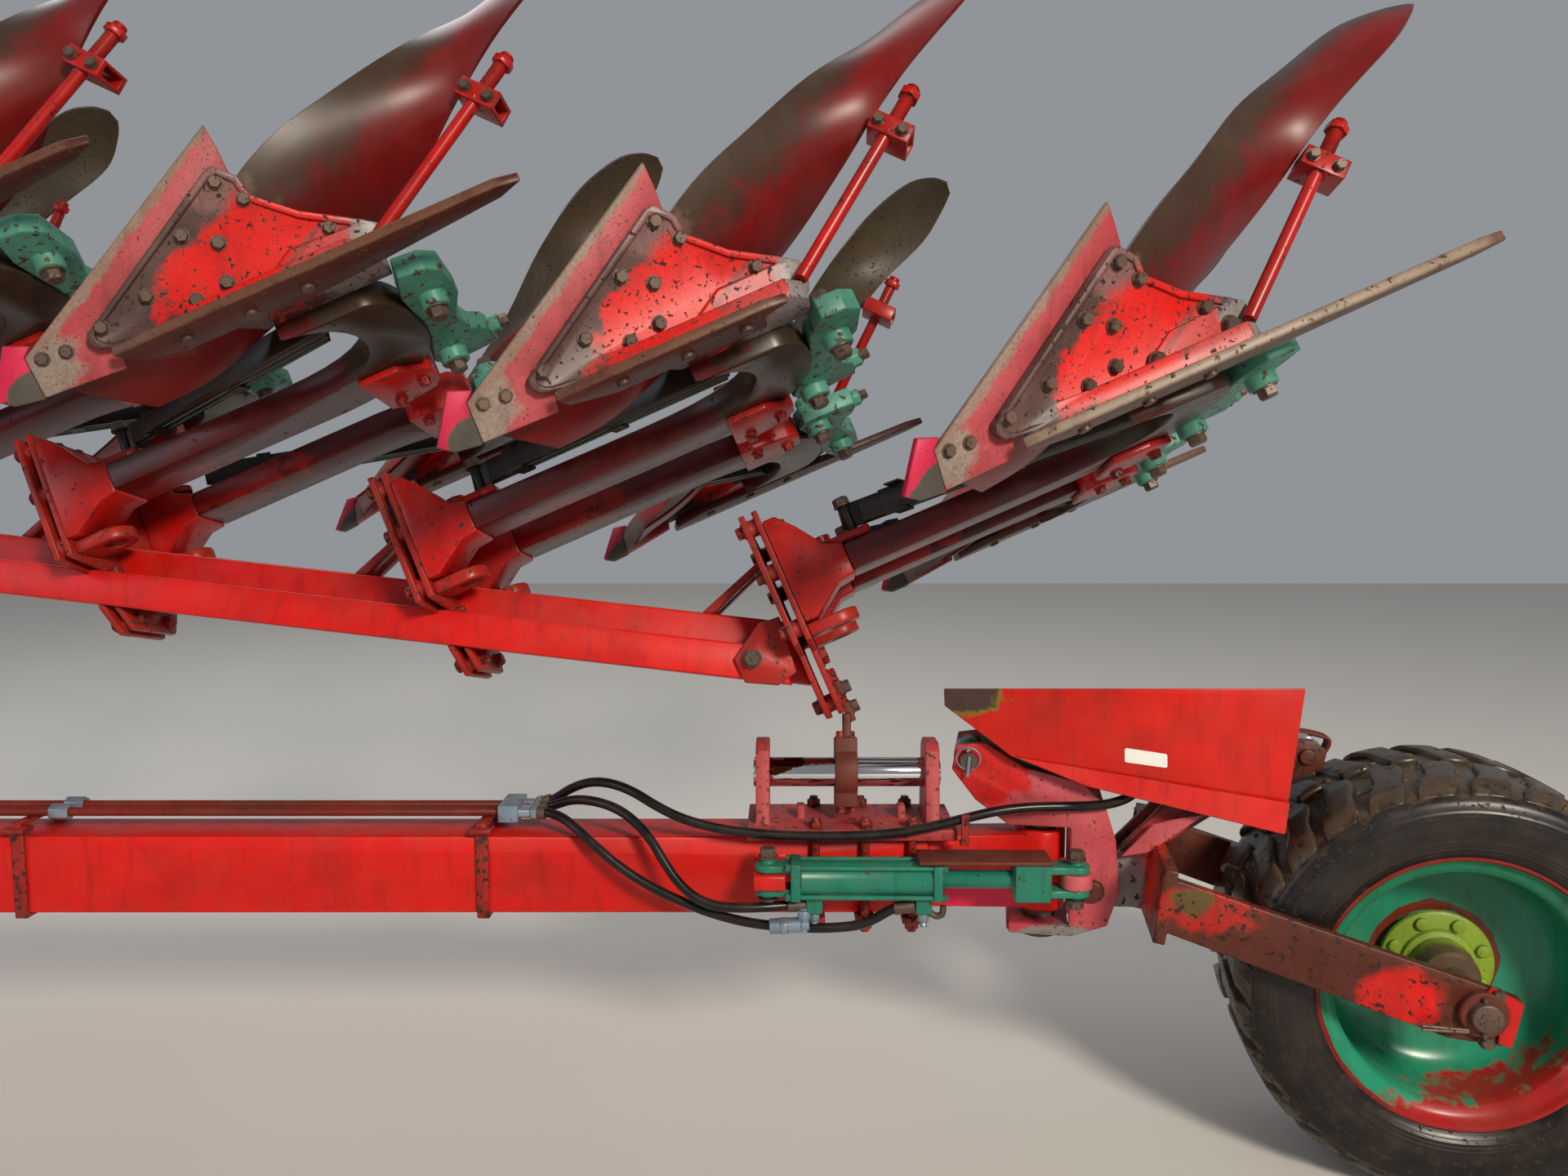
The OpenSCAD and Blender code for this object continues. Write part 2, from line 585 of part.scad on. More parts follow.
// Round bar across the swivel at a point of its side view
module across(at, length, d) {
  translate([at[0], 0, at[1]]) rotate([90, 0, 0]) cylinder(h = length, d = d, center = true);
}
arm_y = 235;
arm_t = 28;
lift_arm_y = 42;
lift_arm_t = 24;
module side_plate(y, t, outline) {
  translate([0, y, 0]) rotate([90, 0, 0]) linear_extrude(t, center = true) polygon(outline);
}
module wheel_fork() {
  color("orangered") on_swivel() {
    difference() {
      union() {
        for (s = [-1, 1]) side_plate(s * (arm_y + arm_t / 2), arm_t, [[244, 706], [230, 590],
          [trail - 60, tyre_r - 60], [trail + 60, tyre_r - 70], [trail + 75, tyre_r + 30],
          [trail - 20, tyre_r + 62]]);
        side_plate(0, 2 * (arm_y + arm_t), [[248, 720], [225, 560], [250, 555], [275, 716]]);
        for (s = [-1, 1]) side_plate(s * lift_arm_y, lift_arm_t, [[72, 585], [80, 565], [115, 556],
          [250, 560], [262, 700], lift_eye + [-170, -125], lift_eye + [35, -25], lift_eye + [42, 15],
          lift_eye + [10, 37], lift_eye + [-25, 34], lift_eye + [-52, 34], lift_eye + [-70, 5],
          lift_eye + [-300, -125], [130, 645], [85, 632]]);
      }
      across([trail, tyre_r], 800, axle_pin_d + 2 * gap);
    }
    across(lift_pivot, 2 * yoke_y + 2 * yoke_t + 20, lift_pin_d);
    across(lift_eye, 2 * lift_arm_y + lift_arm_t + 16, horn_pin_d);
  }
}
module axle() {
  color("dimgray") on_swivel() across([trail, tyre_r], 2 * arm_y + 2 * arm_t + 70, axle_pin_d);
}
module cylinder_cover() {
  wall = 5;
  tray_front = 1006;
  color("red") on_swivel() {
    difference() {
      side_plate(0, 2 * cover_y, [[-224, 1063], lift_eye + [-24, 162], lift_eye + [-56, -160], [95, 852],
        [-72, 914], [-222, 1024]]);
      side_plate(0, 2 * (cover_y - wall), [[-300, tray_front], lift_eye + [0, 101], lift_eye + [0, -400],
        [-300, 500]]);
      side_plate(0, 2 * (cover_y - wall), [[-300, tray_front + 8], lift_eye + [0, 109],
        lift_eye + [0, 400], [-300, 1400]]);
    }
    translate([lift_eye[0] - 46, -cover_y + 1, lift_eye[1] + 34 + gap]) cube([8, 2 * cover_y - 2, 69]);
  }
}
// Steering cylinder, laid from the beam's lug to the swivel's lug
steer_eye = [king_x + cos(steer_rest) * steer_lug[0] + sin(steer_rest) * steer_lug[1],
  cos(steer_rest) * steer_lug[1] - sin(steer_rest) * steer_lug[0]];
steer_len = norm(steer_eye - steer_base);
module on_steer() {
  aim = steer_eye - steer_base;
  placed() translate([steer_base[0], steer_base[1], steer_z]) rotate([0, 0, atan2(aim[1], aim[0])])
    children();
}
ear_z = lug_t / 2 + 1;
ear_t = 17;
module ears(x, reach) {
  for (z = [-ear_z - ear_t, ear_z]) translate([x, 0, z]) {
    cylinder(h = ear_t, d = 60);
    translate([min(0, reach), -28, 0]) cube([abs(reach), 56, ear_t]);
  }
}
module steer_barrel() {
  color("teal") on_steer() {
    difference() {
      union() {
        ears(0, 56);
        translate([50, -40, -42]) cube([22, 80, 84]);
        translate([71, 0, 0]) rotate([0, 90, 0]) cylinder(h = 308, d = 76);
        translate([362, -42, -40]) cube([20, 84, 80]);
        for (x = [84, 326]) translate([x, -20, -76]) cube([36, 40, 50]);
      }
      translate([74, 0, 0]) rotate([0, 90, 0]) cylinder(h = 320, d = 41);
    }
    translate([0, 0, -44]) cylinder(h = 92, d = steer_pin_d);
  }
}
module steer_rod() {
  color("teal") on_steer() {
    translate([150, 0, 0]) rotate([0, 90, 0]) cylinder(h = 400, d = 40);
    translate([540, -40, -40]) cube([78, 80, 84]);
    ears(steer_len, -(steer_len - 617));
    for (z = [-ear_z - ear_t - 10, ear_z + ear_t]) translate([steer_len, 0, z])
      cylinder(h = 10, d = steer_pin_d);
  }
}
module steer_guard() {
  color("sienna") on_steer() translate([330, -46, 44 + gap]) cube([290, 92, 8]);
}
module on_lift() {
  aim = lift_eye - horn;
  on_swivel() translate([horn[0], 0, horn[1]]) rotate([0, -atan2(aim[1], aim[0]), 0]) children();
}
lift_len = norm(lift_eye - horn);
module lift_barrel() {
  color("teal") on_lift() {
    rotate([90, 0, 0]) cylinder(h = 2 * yoke_y - 30, d = 70, center = true);
    rotate([90, 0, 0]) cylinder(h = 2 * yoke_y + 2 * yoke_t + 10, d = horn_pin_d, center = true);
    difference() {
      translate([30, 0, 0]) rotate([0, 90, 0]) cylinder(h = 360, d = 100);
      translate([60, 0, 0]) rotate([0, 90, 0]) cylinder(h = 400, d = 46);
    }
  }
  color("silver") on_swivel() translate([222, -80, 0]) {
    translate([0, 0, hose_top + gap]) cylinder(h = 925 - hose_top, d = 26);
    translate([0, 0, 912]) rotate([-90, 0, 0]) cylinder(h = 50, d = 26);
  }
}
module lift_rod() {
  color("gainsboro") on_lift() {
    translate([120, 0, 0]) rotate([0, 90, 0]) cylinder(h = lift_len - 150, d = 45);
    translate([lift_len, 0, 0]) rotate([90, 0, 0]) difference() {
      cylinder(h = 50, d = 80, center = true);
      cylinder(h = 80, d = horn_pin_d + 9, center = true);
    }
  }
}

// Wheel
module rim() {
  color("teal") on_swivel() translate([trail, 0, tyre_r]) rotate([90, 0, 0]) rotate_extrude($fn = 72)
    polygon([[rim_r, 184], [rim_r, 176], [rim_r - 18, 165], [rim_r - 36, 150], [rim_r - 36, -150],
      [rim_r - 18, -165], [rim_r, -176], [rim_r, -184], [rim_r - 8, -184], [rim_r - 28, -170],
      [rim_r - 46, -156], [rim_r - 46, -30], [230, -24], [80, -20], [80, -8], [225, -12],
      [rim_r - 46, 20], [rim_r - 46, 156], [rim_r - 28, 170], [rim_r - 8, 184]]);
}
module hub() {
  color("olivedrab") on_swivel() translate([trail, 0, tyre_r]) rotate([90, 0, 0]) difference() {
    union() {
      translate([0, 0, -110]) cylinder(h = 220, d = 120);
      translate([0, 0, -8 + gap]) cylinder(h = 18, d = 240);
      translate([0, 0, -8 + gap]) cylinder(h = 28, d = 156);
    }
    translate([0, 0, -120]) cylinder(h = 240, d = axle_pin_d + 2 * gap);
  }
}
module tyre() {
  w = tyre_w / 2;
  half = [[rim_r - 35.4, 149.6], [rim_r - 17.5, 164.4], [rim_r + 0.5, 175.5], [rim_r + 0.5, 190],
    [370, w], [410, w - 4], [440, w - 28], [452, w - 60], [tyre_r, w - 110]];
  color("dimgray") on_swivel() translate([trail, 0, tyre_r]) rotate([90, 0, 0]) rotate_extrude($fn = 72)
    polygon(concat(half, reversed([for (p = half) [p[0], -p[1]]])));
}

// Hoses, as routes of points chosen by hand
hose_d = 22;
lift_route = [[-583, 36, 766], [-570, 36, 766], [-540, 28, 782], [-500, 8, 812], [-450, -24, 836],
  [-395, -60, 842],
  [-340, -92, 830], [-290, -112, 804], [-230, -122, 776], [-150, -124, 754], [-60, -124, 742],
  [40, -124, 737], [140, -124, 737], [240, -124, 742], [330, -124, 758], [410, -121, 778],
  [480, -116, 793], [545, -110, 799], [600, -107, 800], [644, -106, 800], [684, -113, 803],
  [726, -119, 808], [764, -121, 820], [790, -120, 838], [803, -118, 858], [807, -117, 874],
  [807, -117, 890]];
hose_top = 890;
rear_route = [[-583, -36, 766], [-570, -36, 766], [-540, -46, 768], [-505, -72, 764],
  [-465, -104, 745], [-420, -124, 710],
  [-370, -134, 670], [-310, -142, 632], [-240, -150, 600], [-165, -158, 572], [-85, -166, 553],
  [0, -172, 545], [90, -175, 543], [165, -175, 549], [205, -173, 566],
  [238, -171, 586], [268, -171, 594], [289, -171, 594]];
front_route = [[-583, 0, 766], [-570, 0, 766], [-540, -8, 774], [-490, -30, 796], [-430, -62, 800],
  [-375, -92, 790],
  [-330, -118, 765], [-295, -138, 730], [-268, -154, 690], [-240, -168, 652], [-205, -180, 620],
  [-160, -187, 600], [-105, -187, 594], [-50, -182, 594], [-5, -172, 594], [20, -169, 594],
  [48, -169, 594]];
module hose_lift() { color("black") placed() swept_tube(lift_route, hose_d); }
module hose_steer_rear() { color("black") placed() swept_tube(rear_route, hose_d); }
module hose_steer_front() { color("black") placed() swept_tube(front_route, hose_d); }

carriage_beam();
beam_clamps();
hydraulic_pipes();
pipe_fittings();
pivot_bracket();
bracket_bolts();
turnover_shaft();
front_bearing();
rack_cylinder();
stand_sleeves();
stand(-1);  // stand_left
stand(1);  // stand_right
headstock();
hitch_pin();
cross_shaft();
turning_head();
main_beam();
width_rail();
station_brackets();
frame_braces();
strap_loops();
rear_link();
union() {  // leg_heads
  near_row() color("red") leg_head();
  far_row() color("red") leg_head();
}
near_row() color("maroon") leg();  // legs_near
far_row() color("maroon") leg();  // legs_far
near_row() color("firebrick") frog();  // frogs_near
far_row() color("firebrick") frog();  // frogs_far
near_row() color("salmon") share();  // shares_near
far_row() color("salmon") share();  // shares_far
near_row() color("deeppink") point();  // points_near
far_row() color("deeppink") point();  // points_far
near_row() color("brown") moldboard();  // moldboards_near
far_row() color("brown") moldboard();  // moldboards_far
near_row() color("gray") landside(near_landsides[$k]);  // landsides_near
far_row() color("gray") landside(far_landside);  // landsides_far
near_row() color("red") stay();  // stays_near
far_row() color("red") stay();  // stays_far
near_row() color("darkslategray") leaf_spring();  // springs_near
far_row() color("darkslategray") leaf_spring();  // springs_far
near_row() color("mediumseagreen") trip_toggle();  // clamps_near
far_row() color("mediumseagreen") trip_toggle();  // clamps_far
swivel_yoke();
king_pin();
wheel_fork();
axle();
cylinder_cover();
steer_barrel();
steer_rod();
steer_guard();
lift_barrel();
lift_rod();
rim();
hub();
tyre();
hose_lift();
hose_steer_rear();
hose_steer_front();
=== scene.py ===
# %% [markdown]
# A semi-mounted reversible plough, parked with its turned frame half over.
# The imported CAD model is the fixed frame. Every rigid piece here starts from a CAD
# solid or from its rule, gets rounded worn edges and a real finish, and rides on the
# same body, so that it still works when the frame turns, steers or lifts.

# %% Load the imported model
import json
import math
import bmesh
import bpy
import numpy as np
from mathutils import Matrix, Vector


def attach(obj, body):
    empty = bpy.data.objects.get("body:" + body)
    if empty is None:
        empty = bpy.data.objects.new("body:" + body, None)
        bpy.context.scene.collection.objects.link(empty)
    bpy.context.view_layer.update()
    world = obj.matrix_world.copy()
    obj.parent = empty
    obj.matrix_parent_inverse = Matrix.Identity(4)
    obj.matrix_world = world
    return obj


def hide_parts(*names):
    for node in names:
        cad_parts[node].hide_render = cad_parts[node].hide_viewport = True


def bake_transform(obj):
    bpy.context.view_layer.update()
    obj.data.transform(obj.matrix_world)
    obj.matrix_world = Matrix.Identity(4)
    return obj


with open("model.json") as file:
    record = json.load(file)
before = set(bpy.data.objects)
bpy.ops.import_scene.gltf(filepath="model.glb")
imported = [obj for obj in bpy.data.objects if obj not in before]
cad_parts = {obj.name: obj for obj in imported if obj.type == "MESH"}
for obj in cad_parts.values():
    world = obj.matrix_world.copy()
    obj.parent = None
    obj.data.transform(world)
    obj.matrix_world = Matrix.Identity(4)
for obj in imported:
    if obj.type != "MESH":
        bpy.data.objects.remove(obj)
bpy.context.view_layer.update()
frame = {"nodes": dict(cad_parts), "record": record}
BODY_OF = {n: body for body, names in frame["record"]["behaviour"]["bodies"].items() for n in names}

# %% [markdown]
# The camera stands where the photographer stood: a phone's height above the ground,
# 2.7 m to the side of the carriage beam, tipped a little down. Placing it in numbers
# lets the render be laid beside the photograph.

# %% Camera
ORIGIN = Vector((1.3525, -0.2883, 0.0))
camera_data = bpy.data.cameras.new("camera")
camera_data.lens = 27.0
camera_data.sensor_width = 36.0
camera = bpy.data.objects.new("camera", camera_data)
camera.location = ORIGIN + Vector((0.0, -2.70, 1.54))
camera.rotation_euler = (math.radians(90 - 5.4), 0.0, 0.0)
bpy.context.scene.collection.objects.link(camera)
bpy.context.scene.camera = camera
print("camera at", [round(c, 3) for c in camera.location])

# %% [markdown]
# The CAD source works in millimetres in a few tilted frames: the carriage, the turned
# frame, each plough body's own frame and the swivelled wheel carrier. The same frames
# are built here as matrices, so that small parts can be placed by the same numbers.

# %% Frames shared with the CAD source
MM = 0.001
AXIS_Z, LEAN, YAW, SLOPE, TRAVEL = 853, 12, 3.3, 6.7, 23.4
PITCH, PAIRS, SOLE_DROP = 850, 5, 745
KING_X, STEER_REST, TRAIL, TYRE_R = 602, 10, 870, 460
SHARE_ANGLE, SHARE_RISE = 31.5, 30


def shift(x, y, z):
    return Matrix.Translation((x * MM, y * MM, z * MM))


def turn(degrees, axis):
    return Matrix.Rotation(math.radians(degrees), 4, axis)


CARRIAGE = Matrix.Translation(ORIGIN)
FRAME_REF = (257, 518, 0)
TURNED = (CARRIAGE @ shift(0, 0, AXIS_Z) @ turn(90 - LEAN, "X") @ shift(*FRAME_REF)
          @ turn(-YAW, "Y") @ shift(*[-c for c in FRAME_REF]))
SWIVEL = CARRIAGE @ shift(KING_X, 0, 0) @ turn(-STEER_REST, "Z")
WHEEL = SWIVEL @ shift(TRAIL, 0, TYRE_R)
SHARE = turn(SHARE_ANGLE, "Z") @ turn(-SHARE_RISE, "X")


def station(k):
    along = (-math.cos(math.radians(SLOPE)) * PITCH * k, math.sin(math.radians(SLOPE)) * PITCH * k, 0)
    return TURNED @ shift(*FRAME_REF) @ shift(*along) @ turn(TRAVEL, "Z")


def plough_body(k, row):
    """Frame of one plough body, its share's tip at the origin. row is "near" or "far"."""
    flip = Matrix.Scale(-1, 4, (0, 0, 1)) if row == "near" else Matrix.Identity(4)
    return station(k) @ flip @ shift(0, 0, -SOLE_DROP)


def at(matrix, x, y, z):
    return matrix @ Vector((x * MM, y * MM, z * MM))


SIDES = (-1, 1)


def every(frames, places):
    """Each place, given as a tuple, once in each frame."""
    return [(m, *place) for m in frames for place in places]


print("wheel's centre", [round(c, 3) for c in WHEEL.translation])

# %% [markdown]
# Finishes. The red is a machine enamel, sprayed on steel and bleached by years of sun:
# it goes pinker where it fades, browner where soil dust stays on upward faces, and it
# chips first along edges, where rust shows. One function adds a node of any kind with
# its settings and links, and one turns sRGB hex to linear colour.

# %% Helpers for finishes
MATH, VECTOR_MATH, RANGE, MIX = "ShaderNodeMath", "ShaderNodeVectorMath", "ShaderNodeMapRange", "ShaderNodeMix"


def linear(code):
    """sRGB hex to the linear colour that shaders use."""
    parts = [int(code[i:i + 2], 16) / 255 for i in (1, 3, 5)]
    return tuple(c / 12.92 if c <= 0.04045 else ((c + 0.055) / 1.055) ** 2.4 for c in parts) + (1.0,)


def add(tree, kind, inputs=None, give=0, **settings):
    """Adds one node and gives one of its outputs, or None: all. An input is a value or another node's output."""
    node = tree.nodes.new(kind)
    for key, value in settings.items():
        setattr(node, key, value)
    for key, value in (inputs or {}).items():
        if isinstance(value, bpy.types.NodeSocket):
            tree.links.new(value, node.inputs[key])
        else:
            node.inputs[key].default_value = value
    return node.outputs if give is None else node.outputs[give]


def speckle(tree, place, size_mm, detail, low, high, much=1.0, stretch=(1.0, 1.0, 1.0)):
    """Noise whose patches are about size_mm across, cut to 0..much between low and high."""
    drawn = add(tree, "ShaderNodeMapping", {"Vector": place, "Scale": stretch})
    cloud = add(tree, "ShaderNodeTexNoise", {"Vector": drawn, "Scale": 1000 / size_mm, "Detail": detail,
                                             "Roughness": 0.6}, "Fac")
    return add(tree, RANGE, {"Value": cloud, "From Min": low, "From Max": high, "To Max": much}, clamp=True)


# %% [markdown]
# Wear on a machine isn't even: a frog is scoured along its front edge and keeps its
# red in the middle. Such a patch belongs to a place on the part, so every mesh carries
# an attribute named spot, its own place in its part's frame in millimetres, and a mark
# is an oval round a spot, with a ragged rim from noise.

# %% Patches at a place on the part
def mark(tree, place, spot, centre, reach, ragged, soft):
    """1 inside an oval round centre, in millimetres of the part's own frame, over a rim soft wide."""
    away = add(tree, VECTOR_MATH, {0: spot, 1: centre}, operation="SUBTRACT")
    scaled = add(tree, VECTOR_MATH, {0: away, 1: reach}, operation="DIVIDE")
    far = add(tree, VECTOR_MATH, {0: scaled}, "Value", operation="LENGTH")
    ragged_far = add(tree, MATH, {0: far, 1: speckle(tree, place, 45, 5.0, 0.25, 0.75, ragged)}, operation="ADD")
    return add(tree, RANGE, {"Value": ragged_far, "From Min": 1 + soft + ragged / 2,
                             "From Max": 1 - soft + ragged / 2}, clamp=True)


def edge_wear(tree, place, reach_mm, low):
    """1 along outward edges, broken up into patches."""
    facing = add(tree, "ShaderNodeNewGeometry", give="Normal")
    rounded = add(tree, "ShaderNodeBevel", {"Radius": reach_mm * MM}, samples=4)
    agree = add(tree, VECTOR_MATH, {0: facing, 1: rounded}, "Value", operation="DOT_PRODUCT")
    edge = add(tree, RANGE, {"Value": agree, "From Min": 0.995, "From Max": 0.88}, clamp=True)
    return add(tree, MATH, {0: edge, 1: speckle(tree, place, 30, 4.0, low, low + 0.18)}, operation="MULTIPLY")


DUSTY_SHINE, SOIL_DUST, BARE_DARK = 0.32, "#6E5A44", "#24140E"


def weathered(name, paint, faded, under, marks=(), soft=0.07, metallic=0.0, rough=0.36, fade_mm=240,
              chip_mm=16, chip=0.68, dust_much=0.2, under_rough=0.7, wear_mm=4, wear_low=0.4, grain_much=0.15,
              streak="#2E0E0A", streak_much=0.35):
    """Paint or skin over a base that shows where it is worn, with marks at places on the part."""
    finish = bpy.data.materials.new(name)
    finish.use_nodes = True
    tree = finish.node_tree
    shader = tree.nodes["Principled BSDF"].inputs
    shader["Metallic"].default_value = metallic
    if not metallic:
        shader["Specular IOR Level"].default_value = DUSTY_SHINE
    place = add(tree, "ShaderNodeTexCoord", give="Object")
    spot = add(tree, "ShaderNodeAttribute", give="Vector", attribute_name="spot")
    grain = speckle(tree, place, 6, 2.0, 0.3, 0.7, grain_much)
    worn = speckle(tree, place, chip_mm, 6.0, chip, chip + 0.03)
    if wear_mm:
        worn = add(tree, MATH, {0: worn, 1: edge_wear(tree, place, wear_mm, wear_low)}, operation="ADD",
                   use_clamp=True)
    bare = add(tree, MIX, {0: speckle(tree, place, 9, 3.0, 0.4, 0.6), 6: linear(under), 7: linear(BARE_DARK)}, 2,
               data_type="RGBA")
    upward = add(tree, "ShaderNodeSeparateXYZ", {0: add(tree, "ShaderNodeNewGeometry", give="Normal")}, "Z")
    lying = add(tree, RANGE, {"Value": upward, "From Min": 0.1, "From Max": 0.95, "To Min": 0.35, "To Max": 1.2},
                clamp=True)
    film = add(tree, MATH, {0: speckle(tree, place, 70, 5.0, 0.42, 0.7, dust_much), 1: lying},
               operation="MULTIPLY", use_clamp=True)
    layers = [(speckle(tree, place, fade_mm, 3.0, 0.35, 0.7), linear(faded))]
    layers += [(mark(tree, place, spot, centre, reach, ragged, soft), linear(shade))
               for shade, centre, reach, ragged in marks]
    layers += [(grain, linear(under)),
               (speckle(tree, place, 26, 4.0, 0.52, 0.78, streak_much, (1.0, 1.0, 0.15)), linear(streak)),
               (speckle(tree, place, 150, 6.0, 0.5, 0.8, streak_much), linear(streak)),
               (worn, bare), (film, linear(SOIL_DUST))]
    colour = linear(paint)
    for amount, over in layers:
        colour = add(tree, MIX, {0: amount, 6: colour, 7: over}, 2, data_type="RGBA")
    dull = add(tree, MATH, {0: worn, 1: film}, operation="ADD", use_clamp=True)
    matt = add(tree, RANGE, {"Value": dull, "To Min": rough, "To Max": under_rough})
    relief = add(tree, MATH, {0: speckle(tree, place, 6, 2.0, 0.3, 0.7, 0.03), 1: worn}, operation="SUBTRACT")
    bump = add(tree, "ShaderNodeBump", {"Height": relief, "Strength": 0.35, "Distance": 0.0011})
    for socket, value in {"Base Color": colour, "Roughness": matt, "Normal": bump}.items():
        tree.links.new(value, shader[socket])
    return finish


# %% [markdown]
# The finishes, each named for what the real surface is. The colours were chosen
# against the photograph, part by part. Marks use the part's own frame: share plane for
# frogs and shares, radius and side for wheel parts, board row and height for boards.

# %% Finishes of the frame and the carriage
FAR = 9999
FINISH = {
    "frame_red": weathered("enamel_red", "#D00C07", "#B40C0A", "#5A2416"),
    "casting_red": weathered("enamel_red_on_casting", "#BC0E0B", "#8E1210", "#4A2016", rough=0.3, chip=0.62,
                             wear_low=0.3),
    "bracket_red": weathered("enamel_red_worn_through", "#A8120E", "#8A1812", "#5E3A26", chip=0.6, wear_mm=7,
                             wear_low=0.26),
    "faded_red": weathered("enamel_red_faded", "#B43C46", "#C26064", "#6A322A", [
        ("#C81814", (-150, -80, 860), (120, 60, 70), 0.5),
        ("#7E7A78", (45, -80, 470), (120, 60, 42), 0.6),
        ("#5A3A30", (60, 0, 470), (140, 50, 30), 0.5)], rough=0.5, chip=0.62, chip_mm=10),
    "cover_red": weathered("enamel_orange_red", "#CC1204", "#B81006", "#7A2410", [
        ("#7A6A1C", (-184, 0, 1058), (100, FAR, 56), 0.6),
        ("#3A322E", (-190, 0, 1060), (92, FAR, 50), 0.6),
        ("#3E5A2A", (524, 0, 1100), (24, FAR, 14), 0.4)], chip=0.74, grain_much=0.2, rough=0.3, wear_low=0.5),
    "skirt_red": weathered("enamel_red_bleached", "#D42A26", "#C01410", "#8A3A30", rough=0.24, chip=0.7),
    "beam_red": weathered("enamel_red_on_beam", "#D40D08", "#BE0C08", "#6A2A18", [
        ("#E01848", (450, -50, 565), (84, 30, 50), 0.4),
        ("#7A2A1E", (470, -50, 515), (120, 60, 12), 0.5)], fade_mm=500, chip=0.72),
    "clamp_red": weathered("enamel_red_over_rust", "#A8140E", "#6A2014", "#4A2418", chip=0.54, wear_low=0.2),
    "base_pink": weathered("enamel_red_chalky", "#A01C20", "#B24C4C", "#5A322C", chip=0.6, rough=0.5),
    "fork_rust": weathered("steel_rusted_under_red", "#4E1E14", "#5E2A1A", "#2C1610", [
        ("#D00E08", (716, -263, 478), (76, 40, 62), 0.45),
        ("#A81A10", (320, -263, 640), (110, 40, 46), 1.0),
        ("#5A4A1C", (300, -263, 655), (40, 40, 28), 1.5),
        ("#C8260C", (250, 0, 640), (34, 225, 110), 0.35),
        ("#7E7472", (180, -54, 610), (62, 20, 76), 0.3),
        ("#B0302E", (270, 0, 740), (100, 70, 60), 0.6)], soft=0.2, rough=0.4, chip=0.58),
    "rusty_steel": weathered("steel_rusted", "#5A2418", "#6E3020", "#2A1410", rough=0.6),
    "black_steel": weathered("spring_steel_oiled", "#0E0E0D", "#1E1A16", "#3A2018", [
        ("#3E8A6C", (300, 0, -7.5), (380, 90, 1), 0.3),
        ("#5AA080", (240, 0, -25.5), (260, 90, 1), 0.3),
        ("#3E8A6C", (420, 0, -16.5), (190, 90, 1), 0.3)], rough=0.34, wear_mm=0, streak="#000000"),
    "green_paint": weathered("enamel_green_chipped", "#12705C", "#1E8068", "#4A3A2A", rough=0.3, chip=0.64,
                             wear_low=0.34, streak="#0E2A20"),
    "toggle_green": weathered("enamel_green_pale", "#4C9480", "#357A68", "#5A4A3A", rough=0.42, chip=0.58,
                              chip_mm=22, wear_low=0.3, streak="#1E3A30"),
    "pipe_brown": weathered("steel_pipe_overpainted", "#7A1C12", "#5A2418", "#3A1E14", rough=0.4),
    "fitting_zinc": weathered("zinc_bright", "#7E94A6", "#98A6B0", "#5E5248", metallic=0.55, rough=0.34),
    "chrome": weathered("chrome_plated", "#C8C8CA", "#D8D8DA", "#6A4020", [
        ("#5A2A12", (-20, 0, 872), (40, FAR, 16), 0.7),
        ("#4A2A1A", (20, -20, 880), (30, FAR, 10), 0.8)], metallic=1.0, rough=0.08, chip=0.76, wear_mm=0,
        streak_much=0.0, grain_much=0.0, dust_much=0.05),
    "bolt_steel": weathered("bolt_steel_dull", "#4E423A", "#6A5648", "#3A2018", metallic=0.35, rough=0.45,
                            wear_mm=0, chip=0.6, chip_mm=7),
    "bolt_painted": weathered("bolt_overpainted", "#A81812", "#6A2A20", "#3A2018", rough=0.4, wear_mm=0, chip=0.52,
                              chip_mm=9),
    "label_white": weathered("label_white_blank", "#EDEBE6", "#E2DED6", "#B8A898", rough=0.3, wear_mm=0, chip=0.72,
                             dust_much=0.1, streak_much=0.1),
}
print("finishes", len(FINISH))

